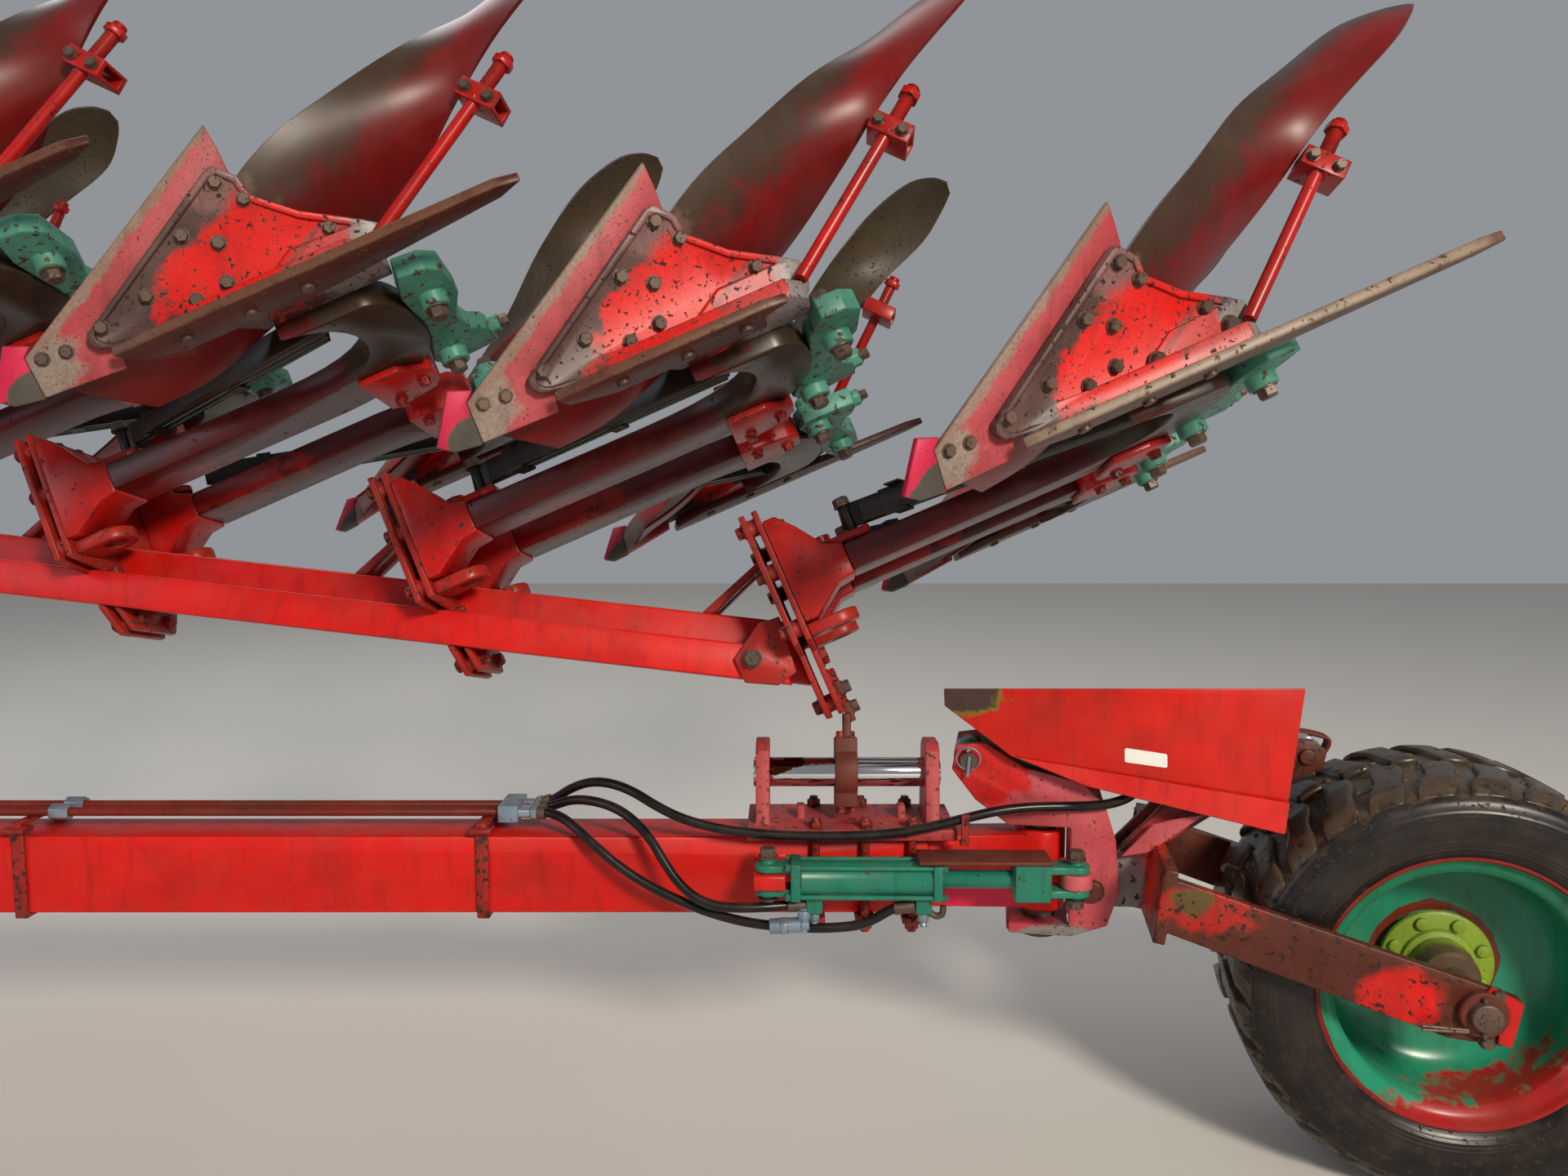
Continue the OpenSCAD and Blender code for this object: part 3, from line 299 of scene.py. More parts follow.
# %% Finishes of the plough bodies
FINISH.update({
    "frog_paint": weathered("enamel_red_scoured", "#3A2624", "#664A46", "#2A1A16", [
        ("#7E5A58", (560, -80, -24), (60, 50, FAR), 0.6),
        ("#D81008", (500, -205, 0), (150, 92, FAR), 0.45),
        ("#D81008", (400, -150, 0), (110, 50, FAR), 0.9),
        ("#D81008", (640, -230, 0), (80, 50, FAR), 0.7),
        ("#8A8280", (610, -345, -26), (92, 62, FAR), 0.9),
        ("#C03A3A", (560, -300, -26), (110, 36, FAR), 1.1),
        ("#9A3A34", (560, -262, -26), (70, 7, FAR), 0.5)], soft=0.16, rough=0.38, chip=0.6, chip_mm=12, wear_mm=6,
        wear_low=0.2, grain_much=0.3),
    "share_paint": weathered("share_paint_worn", "#A82634", "#B4444C", "#6A4440", [
        ("#7A6450", (380, -2, 0), (330, 13, FAR), 0.7),
        ("#8E8276", (90, -30, 0), (70, 60, FAR), 0.8),
        ("#8A7466", (230, 0, 0), (240, 20, FAR), 0.9)], soft=0.2, chip=0.62, chip_mm=5, grain_much=0.5,
        rough=0.5, wear_low=0.26),
    "point_paint": weathered("point_paint_fresh", "#CC1046", "#C01844", "#3A342E", [
        ("#4A4640", (40, -40, 0), (60, 30, FAR), 0.6)], chip=0.66, wear_mm=5, wear_low=0.25, rough=0.45),
    "board_back": weathered("board_red_grimy", "#780A0C", "#5A0C0E", "#2A1712", [
        ("#48201A", (600, 0, 0), (620, 38, FAR), 1.0),
        ("#3A2A1E", (600, 0, 0), (600, 22, FAR), 1.0),
        ("#7E6056", (170, 14, 0), (80, 34, FAR), 0.8),
        ("#30241C", (880, 20, 0), (150, 60, FAR), 1.0)], soft=0.32, chip=0.7, wear_low=0.3, fade_mm=400,
        dust_much=0.12),
    "soil_black": weathered("steel_soil_black", "#15161A", "#24262C", "#3A3228", rough=0.42, chip=0.6, chip_mm=8,
                            wear_mm=0, streak="#08080A"),
    "soil_steel": weathered("steel_soil_polished", "#3A3022", "#4A3E2C", "#241C18", rough=0.44,
                            chip=0.6, chip_mm=10, dust_much=0.12, wear_mm=0, streak="#1E1A16"),
    "worn_steel": weathered("steel_scuffed_pale", "#544038", "#6A4A3C", "#6E5440", [
        ("#80705E", (700, 0, 6), (640, 30, 10), 1.1)], rough=0.42, chip=0.6, wear_mm=5, wear_low=0.2, soft=0.3),
    "worn_dark": weathered("steel_scuffed_dark", "#3E1612", "#4E2018", "#5E4434", [
        ("#5E3A28", (600, 0, 6), (640, 30, 7), 1.4)], rough=0.4, chip=0.6, wear_mm=5, wear_low=0.26, soft=0.3),
    "leg_plain": weathered("enamel_maroon_oily", "#520A0C", "#3A0C0E", "#140C0C", [
        ("#33261A", (640, 0, 400), (170, 90, 260), 0.5),
        ("#7E120E", (0, 0, 610), (200, 40, 60), 1.0)], rough=0.3, chip=0.64, chip_mm=18, streak="#0A0606"),
    "tyre_rubber": weathered("tyre_rubber_muddy", "#0C0C0D", "#16161A", "#2E2620", [
        ("#3E3226", (446, 0, 0), (22, 260, FAR), 1.3),
        ("#1A1512", (330, 0, 0), (22, FAR, FAR), 0.9)], rough=0.3, under_rough=0.8, dust_much=0.24, wear_mm=0,
        chip=0.6, streak="#2A2018"),
    "mud": weathered("mud_dried", "#5A4634", "#6E563E", "#3A2A1E", rough=0.9, wear_mm=0),
    "hose_rubber": weathered("hose_rubber_black", "#08080A", "#121214", "#2A2622", rough=0.26, chip=0.8,
                             dust_much=0.15, wear_mm=0),
    "rim_green": weathered("enamel_green_on_rim", "#0E8A6A", "#14805E", "#6A2A1C", [
        ("#7A1612", (298, 0, 0), (11, FAR, FAR), 0.6),
        ("#A01C1C", (290, 0, -62), (44, FAR, 60), 0.5),
        ("#6A2A1C", (126, 0, 0), (11, 60, FAR), 1.1)], rough=0.24, chip=0.73, dust_much=0.14),
    "hub_paint": weathered("enamel_yellow_green", "#84A428", "#76902A", "#4E3E1E", [
        ("#5A4638", (0, -98, 0), (78, 76, FAR), 0.2)], rough=0.38, chip=0.66),
})
print("finishes", len(FINISH))

# %% [markdown]
# Every rigid form is a mesh in metres with its spot attribute. Loose parts of a CAD
# node are told apart by their joined edges, and each is measured in the frame of the
# plough body that it belongs to.

# %% Meshes with their spots
def holder_of(data, name="work"):
    holder = bpy.data.objects.new(name, data)
    bpy.context.scene.collection.objects.link(holder)
    return holder


def mesh_of(form, name, outward=False):
    """A bmesh as a new mesh, its faces turned outwards if asked."""
    if outward:
        bmesh.ops.recalc_face_normals(form, faces=form.faces)
    mesh = bpy.data.meshes.new(name)
    form.to_mesh(mesh)
    form.free()
    return mesh


def islands(mesh):
    """For each vertex, a number shared by its loose part."""
    part = list(range(len(mesh.vertices)))

    def root(i):
        while part[i] != i:
            part[i] = part[part[i]]
            i = part[i]
        return i

    for edge in mesh.edges:
        a, b = edge.vertices
        part[root(a)] = root(b)
    return np.array([root(i) for i in range(len(part))])


def points_of(mesh):
    found = np.empty(len(mesh.vertices) * 3)
    mesh.vertices.foreach_get("co", found)
    return found.reshape(-1, 3)


def in_frame(points, matrix):
    """World points in metres to a frame's millimetres."""
    back = np.array(matrix.inverted())
    return (points @ back[:3, :3].T + back[:3, 3]) / MM


def spots_in(mesh, frames):
    """Each point's place in its own frame: the frame where its loose part lies as the rearmost one does."""
    points = points_of(mesh)
    if len(frames) == 1:
        return in_frame(points, frames[0])
    owner = islands(mesh)
    middles = {i: points[owner == i].mean(axis=0, keepdims=True) for i in set(owner)}
    rearmost = max(middles.values(), key=lambda m: m[0][0])
    wanted = in_frame(rearmost, frames[0])[0][0]
    spots = np.empty_like(points)
    for i, middle in middles.items():
        best = min(frames, key=lambda f: abs(in_frame(middle, f)[0][0] - wanted))
        spots[owner == i] = in_frame(points[owner == i], best)
    return spots


def round_axle(mesh):
    """Each point's radius from the wheel's axle, side along it and angle in degrees."""
    p = in_frame(points_of(mesh), WHEEL)
    return np.column_stack([np.hypot(p[:, 0], p[:, 2]), p[:, 1], np.degrees(np.arctan2(p[:, 2], p[:, 0]))])


def make_piece(name, mesh, finishes, body, spots=None, smooth_above=35, stands_for=None):
    """Links a mesh as a piece with its finishes, riding on a CAD body, and takes a CAD node's place if asked."""
    piece = holder_of(mesh, name)
    which = [face.material_index for face in mesh.polygons] if " " in finishes else [0] * len(mesh.polygons)
    mesh.materials.clear()
    for finish in finishes.split():
        mesh.materials.append(FINISH[finish])
    mesh.polygons.foreach_set("material_index", which)
    mesh.shade_smooth()
    mesh.set_sharp_from_angle(angle=math.radians(smooth_above))
    spots = spots_in(mesh, [CARRIAGE]) if spots is None else spots
    mesh.attributes.new("spot", "FLOAT_VECTOR", "POINT").data.foreach_set("vector", spots.ravel())
    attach(piece, body)
    if stands_for:
        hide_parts(stands_for)
    print(name, "rides on", body, "with", len(mesh.polygons), "faces")


# %% [markdown]
# CAD solids have knife-sharp edges, and real forgings and plates don't. Each rigid CAD
# solid is copied, its doubled points merged and its flat areas joined, and a Bevel
# modifier rounds what is sharp. The copy replaces the CAD node and keeps its place.

# %% Round the edges of the CAD solids
DOUBLED_WITHIN, FLAT_BELOW, SHARP_ABOVE = 2e-5, math.radians(0.6), math.radians(40)
SEAM_LEAST, SEAM_STEP = 45, 5


def baked(piece):
    """The piece's mesh with its modifiers applied, as plain data."""
    return bpy.data.meshes.new_from_object(piece.evaluated_get(bpy.context.evaluated_depsgraph_get()))


def cleaned(mesh):
    """The mesh as a bmesh, its doubled points merged and its flat areas joined."""
    form = bmesh.new()
    form.from_mesh(mesh)
    bmesh.ops.remove_doubles(form, verts=form.verts, dist=DOUBLED_WITHIN)
    bmesh.ops.dissolve_limit(form, angle_limit=FLAT_BELOW, verts=form.verts, edges=form.edges)
    return form


def round_edges(mesh, width_mm, segments=2):
    """The mesh with its sharp outward edges rounded by a Bevel modifier."""
    form = cleaned(mesh)
    form.to_mesh(mesh)
    form.free()
    holder = holder_of(mesh)
    bevel = holder.modifiers.new("edges", "BEVEL")
    bevel.width = width_mm * MM
    bevel.segments = segments
    bevel.limit_method = "ANGLE"
    bevel.angle_limit = SHARP_ABOVE
    bevel.use_clamp_overlap = False
    bevel.miter_outer = "MITER_ARC"
    result = baked(holder)
    bpy.data.objects.remove(holder)
    return result


def seams(mesh):
    """Points along a solid's long inward corners, with the corner's direction at each."""
    form = cleaned(mesh)
    found = []
    for edge in form.edges:
        length = edge.calc_length() / MM
        if len(edge.link_faces) == 2 and length > SEAM_LEAST and edge.calc_face_angle_signed() < -SHARP_ABOVE:
            a, b = (corner.co.copy() for corner in edge.verts)
            count = round(length / SEAM_STEP)
            found += [(a.lerp(b, (i + 0.5) / count), (b - a).normalized()) for i in range(count)]
    form.free()
    return found


ROWS = {row: [plough_body(k, row) for k in range(PAIRS)] for row in ("near", "far")}
SPRING_A, SPRING_B = Vector((-75, 92, 564)), Vector((540, 12, 300))
run = SPRING_B - SPRING_A
SPRING = (shift(*SPRING_A) @ turn(math.degrees(math.atan2(run.y, run.x)), "Z")
          @ turn(-math.degrees(math.atan2(run.z, math.hypot(run.x, run.y))), "Y"))
# finish, material slot and radius of the edges in millimetres
DRESS = {
    "carriage_beam": ("beam_red", "frame_red", 6), "beam_clamps": ("clamp_red", "dark_red", 4),
    "hydraulic_pipes": ("pipe_brown", "dark_red", 1), "pipe_fittings": ("fitting_zinc", "zinc", 2),
    "pivot_bracket": ("base_pink", "frame_red", 3), "bracket_bolts": ("bolt_painted", "bolt_steel", 1),
    "turnover_shaft": ("chrome", "chrome", 2), "front_bearing": ("casting_red", "dark_red", 4),
    "rack_cylinder": ("green_paint", "green_paint", 4), "stand_sleeves": ("casting_red", "dark_red", 3),
    "stand_left": ("rusty_steel", "worn_steel", 2), "stand_right": ("rusty_steel", "worn_steel", 2),
    "headstock": ("frame_red", "frame_red", 4), "hitch_pin": ("bolt_steel", "bolt_steel", 2),
    "cross_shaft": ("rusty_steel", "worn_steel", 1.5), "turning_head": ("casting_red", "frame_red", 4),
    "main_beam": ("frame_red", "frame_red", 6), "width_rail": ("beam_red", "frame_red", 5),
    "station_brackets": ("bracket_red", "dark_red", 2.5), "frame_braces": ("bracket_red", "frame_red", 3),
    "strap_loops": ("bracket_red", "frame_red", 4), "rear_link": ("rusty_steel", "rusty_steel", 3),
    "leg_heads": ("casting_red", "frame_red", 5), "swivel_yoke": ("faded_red", "faded_red", 3),
    "king_pin": ("bolt_steel", "bolt_steel", 2), "wheel_fork": ("fork_rust", "frame_red", 3),
    "axle": ("bolt_steel", "bolt_steel", 4), "cylinder_cover": ("cover_red", "frame_red", 1.5),
    "steer_barrel": ("green_paint", "green_paint", 3), "steer_rod": ("green_paint", "green_paint", 3),
    "steer_guard": ("rusty_steel", "rusty_steel", 2), "lift_barrel": ("green_paint", "green_paint", 2),
    "lift_rod": ("chrome", "chrome", 2),
}
MARKED_IN = {node: [SWIVEL] for node in ("swivel_yoke", "wheel_fork", "cylinder_cover")}
IN_SHARE = {row: [m @ SHARE for m in bodies] for row, bodies in ROWS.items()}
for row, bodies in ROWS.items():
    for kind, finish, slot, edge_mm, frames in (
            ("legs", "leg_plain", "dark_red", 4, bodies), ("frogs", "frog_paint", "dark_red", 2.5, IN_SHARE[row]),
            ("shares", "share_paint", "share_paint", 2, IN_SHARE[row]),
            ("points", "point_paint", "point_paint", 2, IN_SHARE[row]),
            ("landsides", "worn_steel worn_dark", "worn_steel", 3, bodies),
            ("stays", "casting_red", "frame_red", 2.5, bodies),
            ("springs", "black_steel", "black_steel", 1.2, [m @ SPRING for m in bodies]),
            ("clamps", "toggle_green casting_red", "green_paint", 4, bodies)):
        DRESS[f"{kind}_{row}"] = (finish, slot, edge_mm)
        MARKED_IN[f"{kind}_{row}"] = frames
WELDED = {"pivot_bracket", "swivel_yoke", "wheel_fork", "leg_heads", "station_brackets", "headstock", "turning_head",
          "frame_braces", "front_bearing", "width_rail"}
COVER_FAR_DROP, COVER_SKIRT_TOP = 44, 1020
REAR_LANDSIDE_X = sum(at(m, 600, 0, 60).x for m in ROWS["near"][:2]) / 2
RED_BLOCKS_BEFORE = 680
welds = {}
for node, (finish, slot, edge_mm) in DRESS.items():
    mesh = frame["nodes"][node].data.copy()
    if node == "cylinder_cover":
        for corner in mesh.vertices:
            here = SWIVEL.inverted() @ corner.co
            if here.y > 0 and here.z > COVER_SKIRT_TOP * MM:
                corner.co.z -= COVER_FAR_DROP * MM
    if node in WELDED:
        welds[node] = seams(mesh)
    mesh = round_edges(mesh, edge_mm)
    spots = spots_in(mesh, MARKED_IN.get(node, [CARRIAGE]))
    if " " in finish:
        # the clamps' front blocks are red; only the rearmost landsides are scuffed pale
        along, limit = (spots, RED_BLOCKS_BEFORE) if "clamps_" in node else (points_of(mesh), REAR_LANDSIDE_X)
        owner = islands(mesh)
        middle = {i: along[owner == i][:, 0].mean() for i in set(owner)}
        for face in mesh.polygons:
            face.material_index = int(middle[owner[face.vertices[0]]] < limit)
    make_piece(f"{node}_worn", mesh, finish, BODY_OF[node], spots, stands_for=node)
print("dressed pieces", len(DRESS))

# %% [markdown]
# The moldboard is a sheet twisted like a ploughed slice of soil. Its sections are the
# CAD's own rows of points, run through with a smooth line, so the sheet curves without
# the CAD's flat facets. The side that meets the soil is dark and polished, and the
# back keeps its red.

# %% Moldboards
def smooth_line(knots, per_span):
    """Points on a smooth line through knots (Catmull-Rom)."""
    knots = np.array(knots, float)
    line = []
    for i in range(len(knots) - 1):
        a, b, c, d = (knots[min(max(i + j, 0), len(knots) - 1)] for j in (-1, 0, 1, 2))
        for step in range(per_span):
            t = step / per_span
            line.append(0.5 * (2 * b + (c - a) * t + (2 * a - 5 * b + 4 * c - d) * t ** 2
                               + (3 * b - a - 3 * c + d) * t ** 3))
    return np.array(line + [knots[-1]])


def unit(v):
    return v / np.linalg.norm(v, axis=-1, keepdims=True)


def closed_sheet(form, grids, paint=(0, 0)):
    """Faces over two grids of points and round their rim. Each side's faces get the number of their finish."""
    rows, cols = len(grids[0]), len(grids[0][0])
    for side, grid in enumerate(grids):
        for i in range(rows - 1):
            for j in range(cols - 1):
                quad = [grid[i][j], grid[i][j + 1], grid[i + 1][j + 1], grid[i + 1][j]]
                form.faces.new(quad if side else quad[::-1]).material_index = paint[side]
    rim = ([(0, j) for j in range(cols)] + [(i, cols - 1) for i in range(1, rows)]
           + [(rows - 1, j) for j in range(cols - 2, -1, -1)] + [(i, 0) for i in range(rows - 2, 0, -1)])
    for (i, j), (m, n) in zip(rim, rim[1:] + rim[:1]):
        form.faces.new([grids[0][i][j], grids[0][m][n], grids[1][m][n], grids[1][i][j]])


BOARD_T, BOARD_ACROSS, BOARD_STEP = 8, 12, 5
# outer edge x, y, z, inner edge x, y, z and the hollow between them
BOARD_ROWS = [
    (100, -8, 62, 165, -14, 250, 0), (250, 72, 62, 290, 8, 275, 22), (420, 168, 62, 450, 70, 286, 32),
    (610, 290, 66, 640, 150, 330, 46), (760, 372, 118, 770, 215, 325, 46), (930, 470, 215, 930, 295, 258, 38),
    (1100, 535, 300, 1100, 388, 200, 28), (1240, 575, 312, 1250, 455, 172, 16), (1320, 570, 300, 1330, 505, 205, 6),
    (1362, 548, 275, 1365, 530, 245, 2)]
rows = smooth_line(BOARD_ROWS, BOARD_STEP)
outer, inner, hollow = rows[:, :3], rows[:, 3:6], rows[:, 6:]
bulge = unit(np.cross(np.gradient(outer, axis=0), inner - outer))
w = np.linspace(0, 1, BOARD_ACROSS + 1)[None, :, None]
front = outer[:, None] * (1 - w) + inner[:, None] * w + bulge[:, None] * hollow[:, None] * 4 * w * (1 - w)
back = front + BOARD_T * unit(np.cross(np.gradient(front, axis=0), np.gradient(front, axis=1)))
# a board's marks are placed by length, 0 to 900, and height, 0 to 100
sheet = np.stack(np.meshgrid(np.linspace(0, 900, len(rows)), np.linspace(0, 100, BOARD_ACROSS + 1), [0.0],
                             indexing="ij"), -1).reshape(-1, 3)
for row, bodies in ROWS.items():
    form = bmesh.new()
    for k, matrix in enumerate(bodies):
        # the rearmost near board's soil side gets the blacker finish
        soil = 2 if k == 0 and row == "near" else 1
        grids = [[[form.verts.new(at(matrix, *p)) for p in line] for line in grid] for grid in (front, back)]
        closed_sheet(form, grids, (soil, 0))
    node = f"moldboards_{row}"
    make_piece(f"{node}_sheet", mesh_of(form, f"boards_{row}", outward=True), "board_back soil_steel soil_black",
               BODY_OF[node], np.tile(sheet, (2 * PAIRS, 1)), stands_for=node)

# %% [markdown]
# The wheel: a flotation tyre on a deep green dish. Tyre, rim and hub are turned shapes,
# so one profile is swung round the axle. The tread is a rule: the same block again and
# again round the tyre, which Geometry Nodes make from one block.

# %% Turned shapes
def turned(profile, matrix, steps):
    """A closed profile of (radius, side) in millimetres, swung round the matrix's Y axis."""
    form = bmesh.new()
    rings = [[form.verts.new(at(matrix, r * math.cos(a), side, r * math.sin(a))) for r, side in profile]
             for a in (2 * math.pi * i / steps for i in range(steps))]
    for i, ring in enumerate(rings):
        after = rings[(i + 1) % steps]
        for j in range(len(profile)):
            k = (j + 1) % len(profile)
            if profile[j][0] > 0 or profile[k][0] > 0:
                form.faces.new([ring[j], ring[k], after[k], after[j]])
    bmesh.ops.remove_doubles(form, verts=form.verts, dist=1e-6)
    bmesh.ops.dissolve_degenerate(form, edges=form.edges, dist=1e-7)
    return mesh_of(form, "turned", outward=True)


def joined(meshes, name="joined"):
    """Several meshes as one, their parts kept apart."""
    form = bmesh.new()
    for mesh in meshes:
        form.from_mesh(mesh)
    return mesh_of(form, name)


WALL_RINGS, WALL_RING_WIDE = [(318, 2.2), (326, 1.6), (334, 1.6), (388, 1.8), (396, 1.8)], 2.6
wall = smooth_line([(298.4, 188), (312, 197), (340, 205), (372, 209), (404, 206), (424, 197), (436, 176),
                    (443, 140), (447, 80), (448, 0)], 12)
wall[:, 1] += sum(high * np.exp(-((wall[:, 0] - r) / WALL_RING_WIDE) ** 2) for r, high in WALL_RINGS)
half = [(262.7, 149), (270, 156), (280.6, 164), (292, 174)] + [tuple(p) for p in wall[:-1]]
carcass = turned(half + [(r, -side) for r, side in reversed(half)], WHEEL, 144)
print("tyre carcass faces", len(carcass.polygons))

# %% [markdown]
# Geometry Nodes need the same few steps each time: name the inputs, set them on a
# modifier, take the result as a plain mesh. These helpers do that for every rule.

# %% Helpers for Geometry Nodes
COPIES = "GeometryNodeInstanceOnPoints"


def new_rule(name, wanted):
    """A node tree with named inputs, given as name: socket kind, and the outputs that hand them on."""
    tree = bpy.data.node_groups.new(name, "GeometryNodeTree")
    for title, kind in wanted.items():
        tree.interface.new_socket(title, in_out="INPUT", socket_type=f"NodeSocket{kind}")
    tree.interface.new_socket("Result", in_out="OUTPUT", socket_type="NodeSocketGeometry")
    return tree, add(tree, "NodeGroupInput", give=None)


def close_rule(tree, shape, finish):
    real = add(tree, "GeometryNodeRealizeInstances", {"Geometry": shape})
    painted = add(tree, "GeometryNodeSetMaterial", {"Geometry": real, "Material": finish})
    add(tree, "NodeGroupOutput", {"Result": painted}, None)


def grow(mesh, tree, values):
    """Runs a rule on a mesh and gives the result as plain data."""
    holder = holder_of(mesh)
    rule = holder.modifiers.new("rule", "NODES")
    rule.node_group = tree
    for socket in tree.interface.items_tree:
        if socket.in_out == "INPUT" and socket.name in values:
            rule[socket.identifier] = values[socket.name]
    result = baked(holder)
    holder.modifiers.remove(rule)
    bpy.data.objects.remove(holder)
    return result


def seeds_at(name, points, ways, **numbers):
    """Loose points, each with its direction and its numbers as attributes."""
    seeds = bpy.data.meshes.new(name)
    seeds.from_pydata(points, [], [])
    seeds.attributes.new("way", "FLOAT_VECTOR", "POINT").data.foreach_set("vector", [c for way in ways for c in way])
    for title, values in numbers.items():
        seeds.attributes.new(title, "FLOAT", "POINT").data.foreach_set("value", values)
    return seeds


ring_rule, given = new_rule("round_the_axle", {"Block": "Geometry", "Count": "Int", "Finish": "Material"})
spokes = add(ring_rule, "GeometryNodePoints", {"Count": given["Count"]})
step = add(ring_rule, MATH, {0: 2 * math.pi, 1: given["Count"]}, operation="DIVIDE")
angle = add(ring_rule, MATH, {0: add(ring_rule, "GeometryNodeInputIndex"), 1: step}, operation="MULTIPLY")
swing = add(ring_rule, "ShaderNodeCombineXYZ", {"Y": angle})
around = add(ring_rule, COPIES, {"Points": spokes, "Instance": given["Block"], "Rotation": swing})
close_rule(ring_rule, around, given["Finish"])

# %% Tread blocks and the tyre
TREAD_COUNT, TREAD_HIGH, TREAD_SUNK = 27, 12, 4
CROWN_R, BLOCK_ACROSS, BLOCK_ALONG, BLOCK_FROM, BLOCK_WIDE = 448, 9, 5, 14, 178


def tread_block(side, start):
    """One curved block from the middle to the shoulder, on an axle through the origin."""
    form = bmesh.new()
    tops, feet = [], []
    for i in range(BLOCK_ACROSS + 1):
        t = i / BLOCK_ACROSS
        y = BLOCK_FROM + BLOCK_WIDE * t
        ground = CROWN_R - 5 * t ** 2 - 14 * max(0, t - 0.72) ** 2 / 0.078
        lift = TREAD_HIGH * (1 - 0.75 * max(0, t - 0.8) / 0.2)
        middle = start + 7.5 * t ** 1.6
        spread = 3.3 + 1.1 * t + 0.5 * math.sin(9 * t)
        tops.append([])
        feet.append([])
        for j in range(BLOCK_ALONG + 1):
            along = 2 * j / BLOCK_ALONG - 1
            for line, r, y_out, wider in (
                    (feet[-1], ground - TREAD_SUNK, y, 0.45), (tops[-1], ground + lift, y + 1.5, 0)):
                a = math.radians(middle + (spread + wider) * along)
                line.append(form.verts.new((math.cos(a) * r * MM, side * y_out * MM, math.sin(a) * r * MM)))
    closed_sheet(form, (feet, tops))
    return mesh_of(form, "block", outward=True)


treads = []
for side, start in ((-1, 0), (1, 6.5)):
    block = round_edges(tread_block(side, start), 2.0, 1)
    treads.append(grow(block, ring_rule, {"Count": TREAD_COUNT, "Finish": FINISH["tyre_rubber"]}))
    treads[-1].transform(WHEEL)
mesh = joined([carcass] + treads, "tyre_mesh")
make_piece("tyre_treaded", mesh, "tyre_rubber", BODY_OF["tyre"], round_axle(mesh), 50, "tyre")

# %% Weld beads in the inward corners
WELD_R, WELD_SEED = 0.0045, 3
weld_rule, given = new_rule("weld_beads", {"Seam": "Geometry", "Radius": "Float", "Seed": "Int", "Finish": "Material"})
bead = add(weld_rule, "GeometryNodeMeshIcoSphere", {"Radius": given["Radius"], "Subdivisions": 2}, "Mesh")
way = add(weld_rule, "GeometryNodeInputNamedAttribute", {"Name": "way"}, "Attribute", data_type="FLOAT_VECTOR")
lie = add(weld_rule, "FunctionNodeAlignRotationToVector", {"Vector": way}, axis="X")
swell = add(weld_rule, "FunctionNodeRandomValue",
            {0: (0.75, 0.85, 0.85), 1: (0.95, 1.25, 1.25), "Seed": given["Seed"]}, data_type="FLOAT_VECTOR")
row_of_beads = add(weld_rule, COPIES, {"Points": given["Seam"], "Instance": bead, "Rotation": lie, "Scale": swell})
close_rule(weld_rule, row_of_beads, given["Finish"])
for node, seam in welds.items():
    if seam:
        finish, slot = DRESS[node][:2]
        points, ways = zip(*seam)
        beads = grow(seeds_at(f"{node}_seams", points, ways), weld_rule,
                     {"Radius": WELD_R, "Seed": WELD_SEED, "Finish": FINISH[finish]})
        make_piece(f"{node}_welds", beads, finish, BODY_OF[node],
                   spots_in(beads, MARKED_IN.get(node, [CARRIAGE])), 60)

# %% Dried mud between the treads
MUD_FROM, MUD_DENSITY, MUD_SEED, CLOD_R = 436, 420.0, 7, 0.008
mud_rule, given = new_rule("mud_clods", {"Ground": "Geometry", "Density": "Float", "Seed": "Int", "Finish": "Material"})
stuck = add(mud_rule, "GeometryNodeDistributePointsOnFaces",
            {"Mesh": given["Ground"], "Density": given["Density"], "Seed": given["Seed"]}, None)
clod = add(mud_rule, "GeometryNodeMeshIcoSphere", {"Radius": CLOD_R, "Subdivisions": 2}, "Mesh")
size = add(mud_rule, "FunctionNodeRandomValue", {0: (0.5, 0.5, 0.25), 1: (2.2, 1.6, 0.6), "Seed": given["Seed"]},
           data_type="FLOAT_VECTOR")
caked = add(mud_rule, COPIES,
            {"Points": stuck["Points"], "Instance": clod, "Rotation": stuck["Rotation"], "Scale": size})
close_rule(mud_rule, caked, given["Finish"])
crown = bmesh.new()
crown.from_mesh(carcass)
to_axle = WHEEL.inverted()
low = [f for f in crown.faces if (to_axle @ f.calc_center_median()).xz.length < MUD_FROM * MM]
bmesh.ops.delete(crown, geom=low, context="FACES")
mud = grow(mesh_of(crown, "crown"), mud_rule, {"Density": MUD_DENSITY, "Seed": MUD_SEED, "Finish": FINISH["mud"]})
make_piece("tyre_mud", mud, "mud", "wheel")

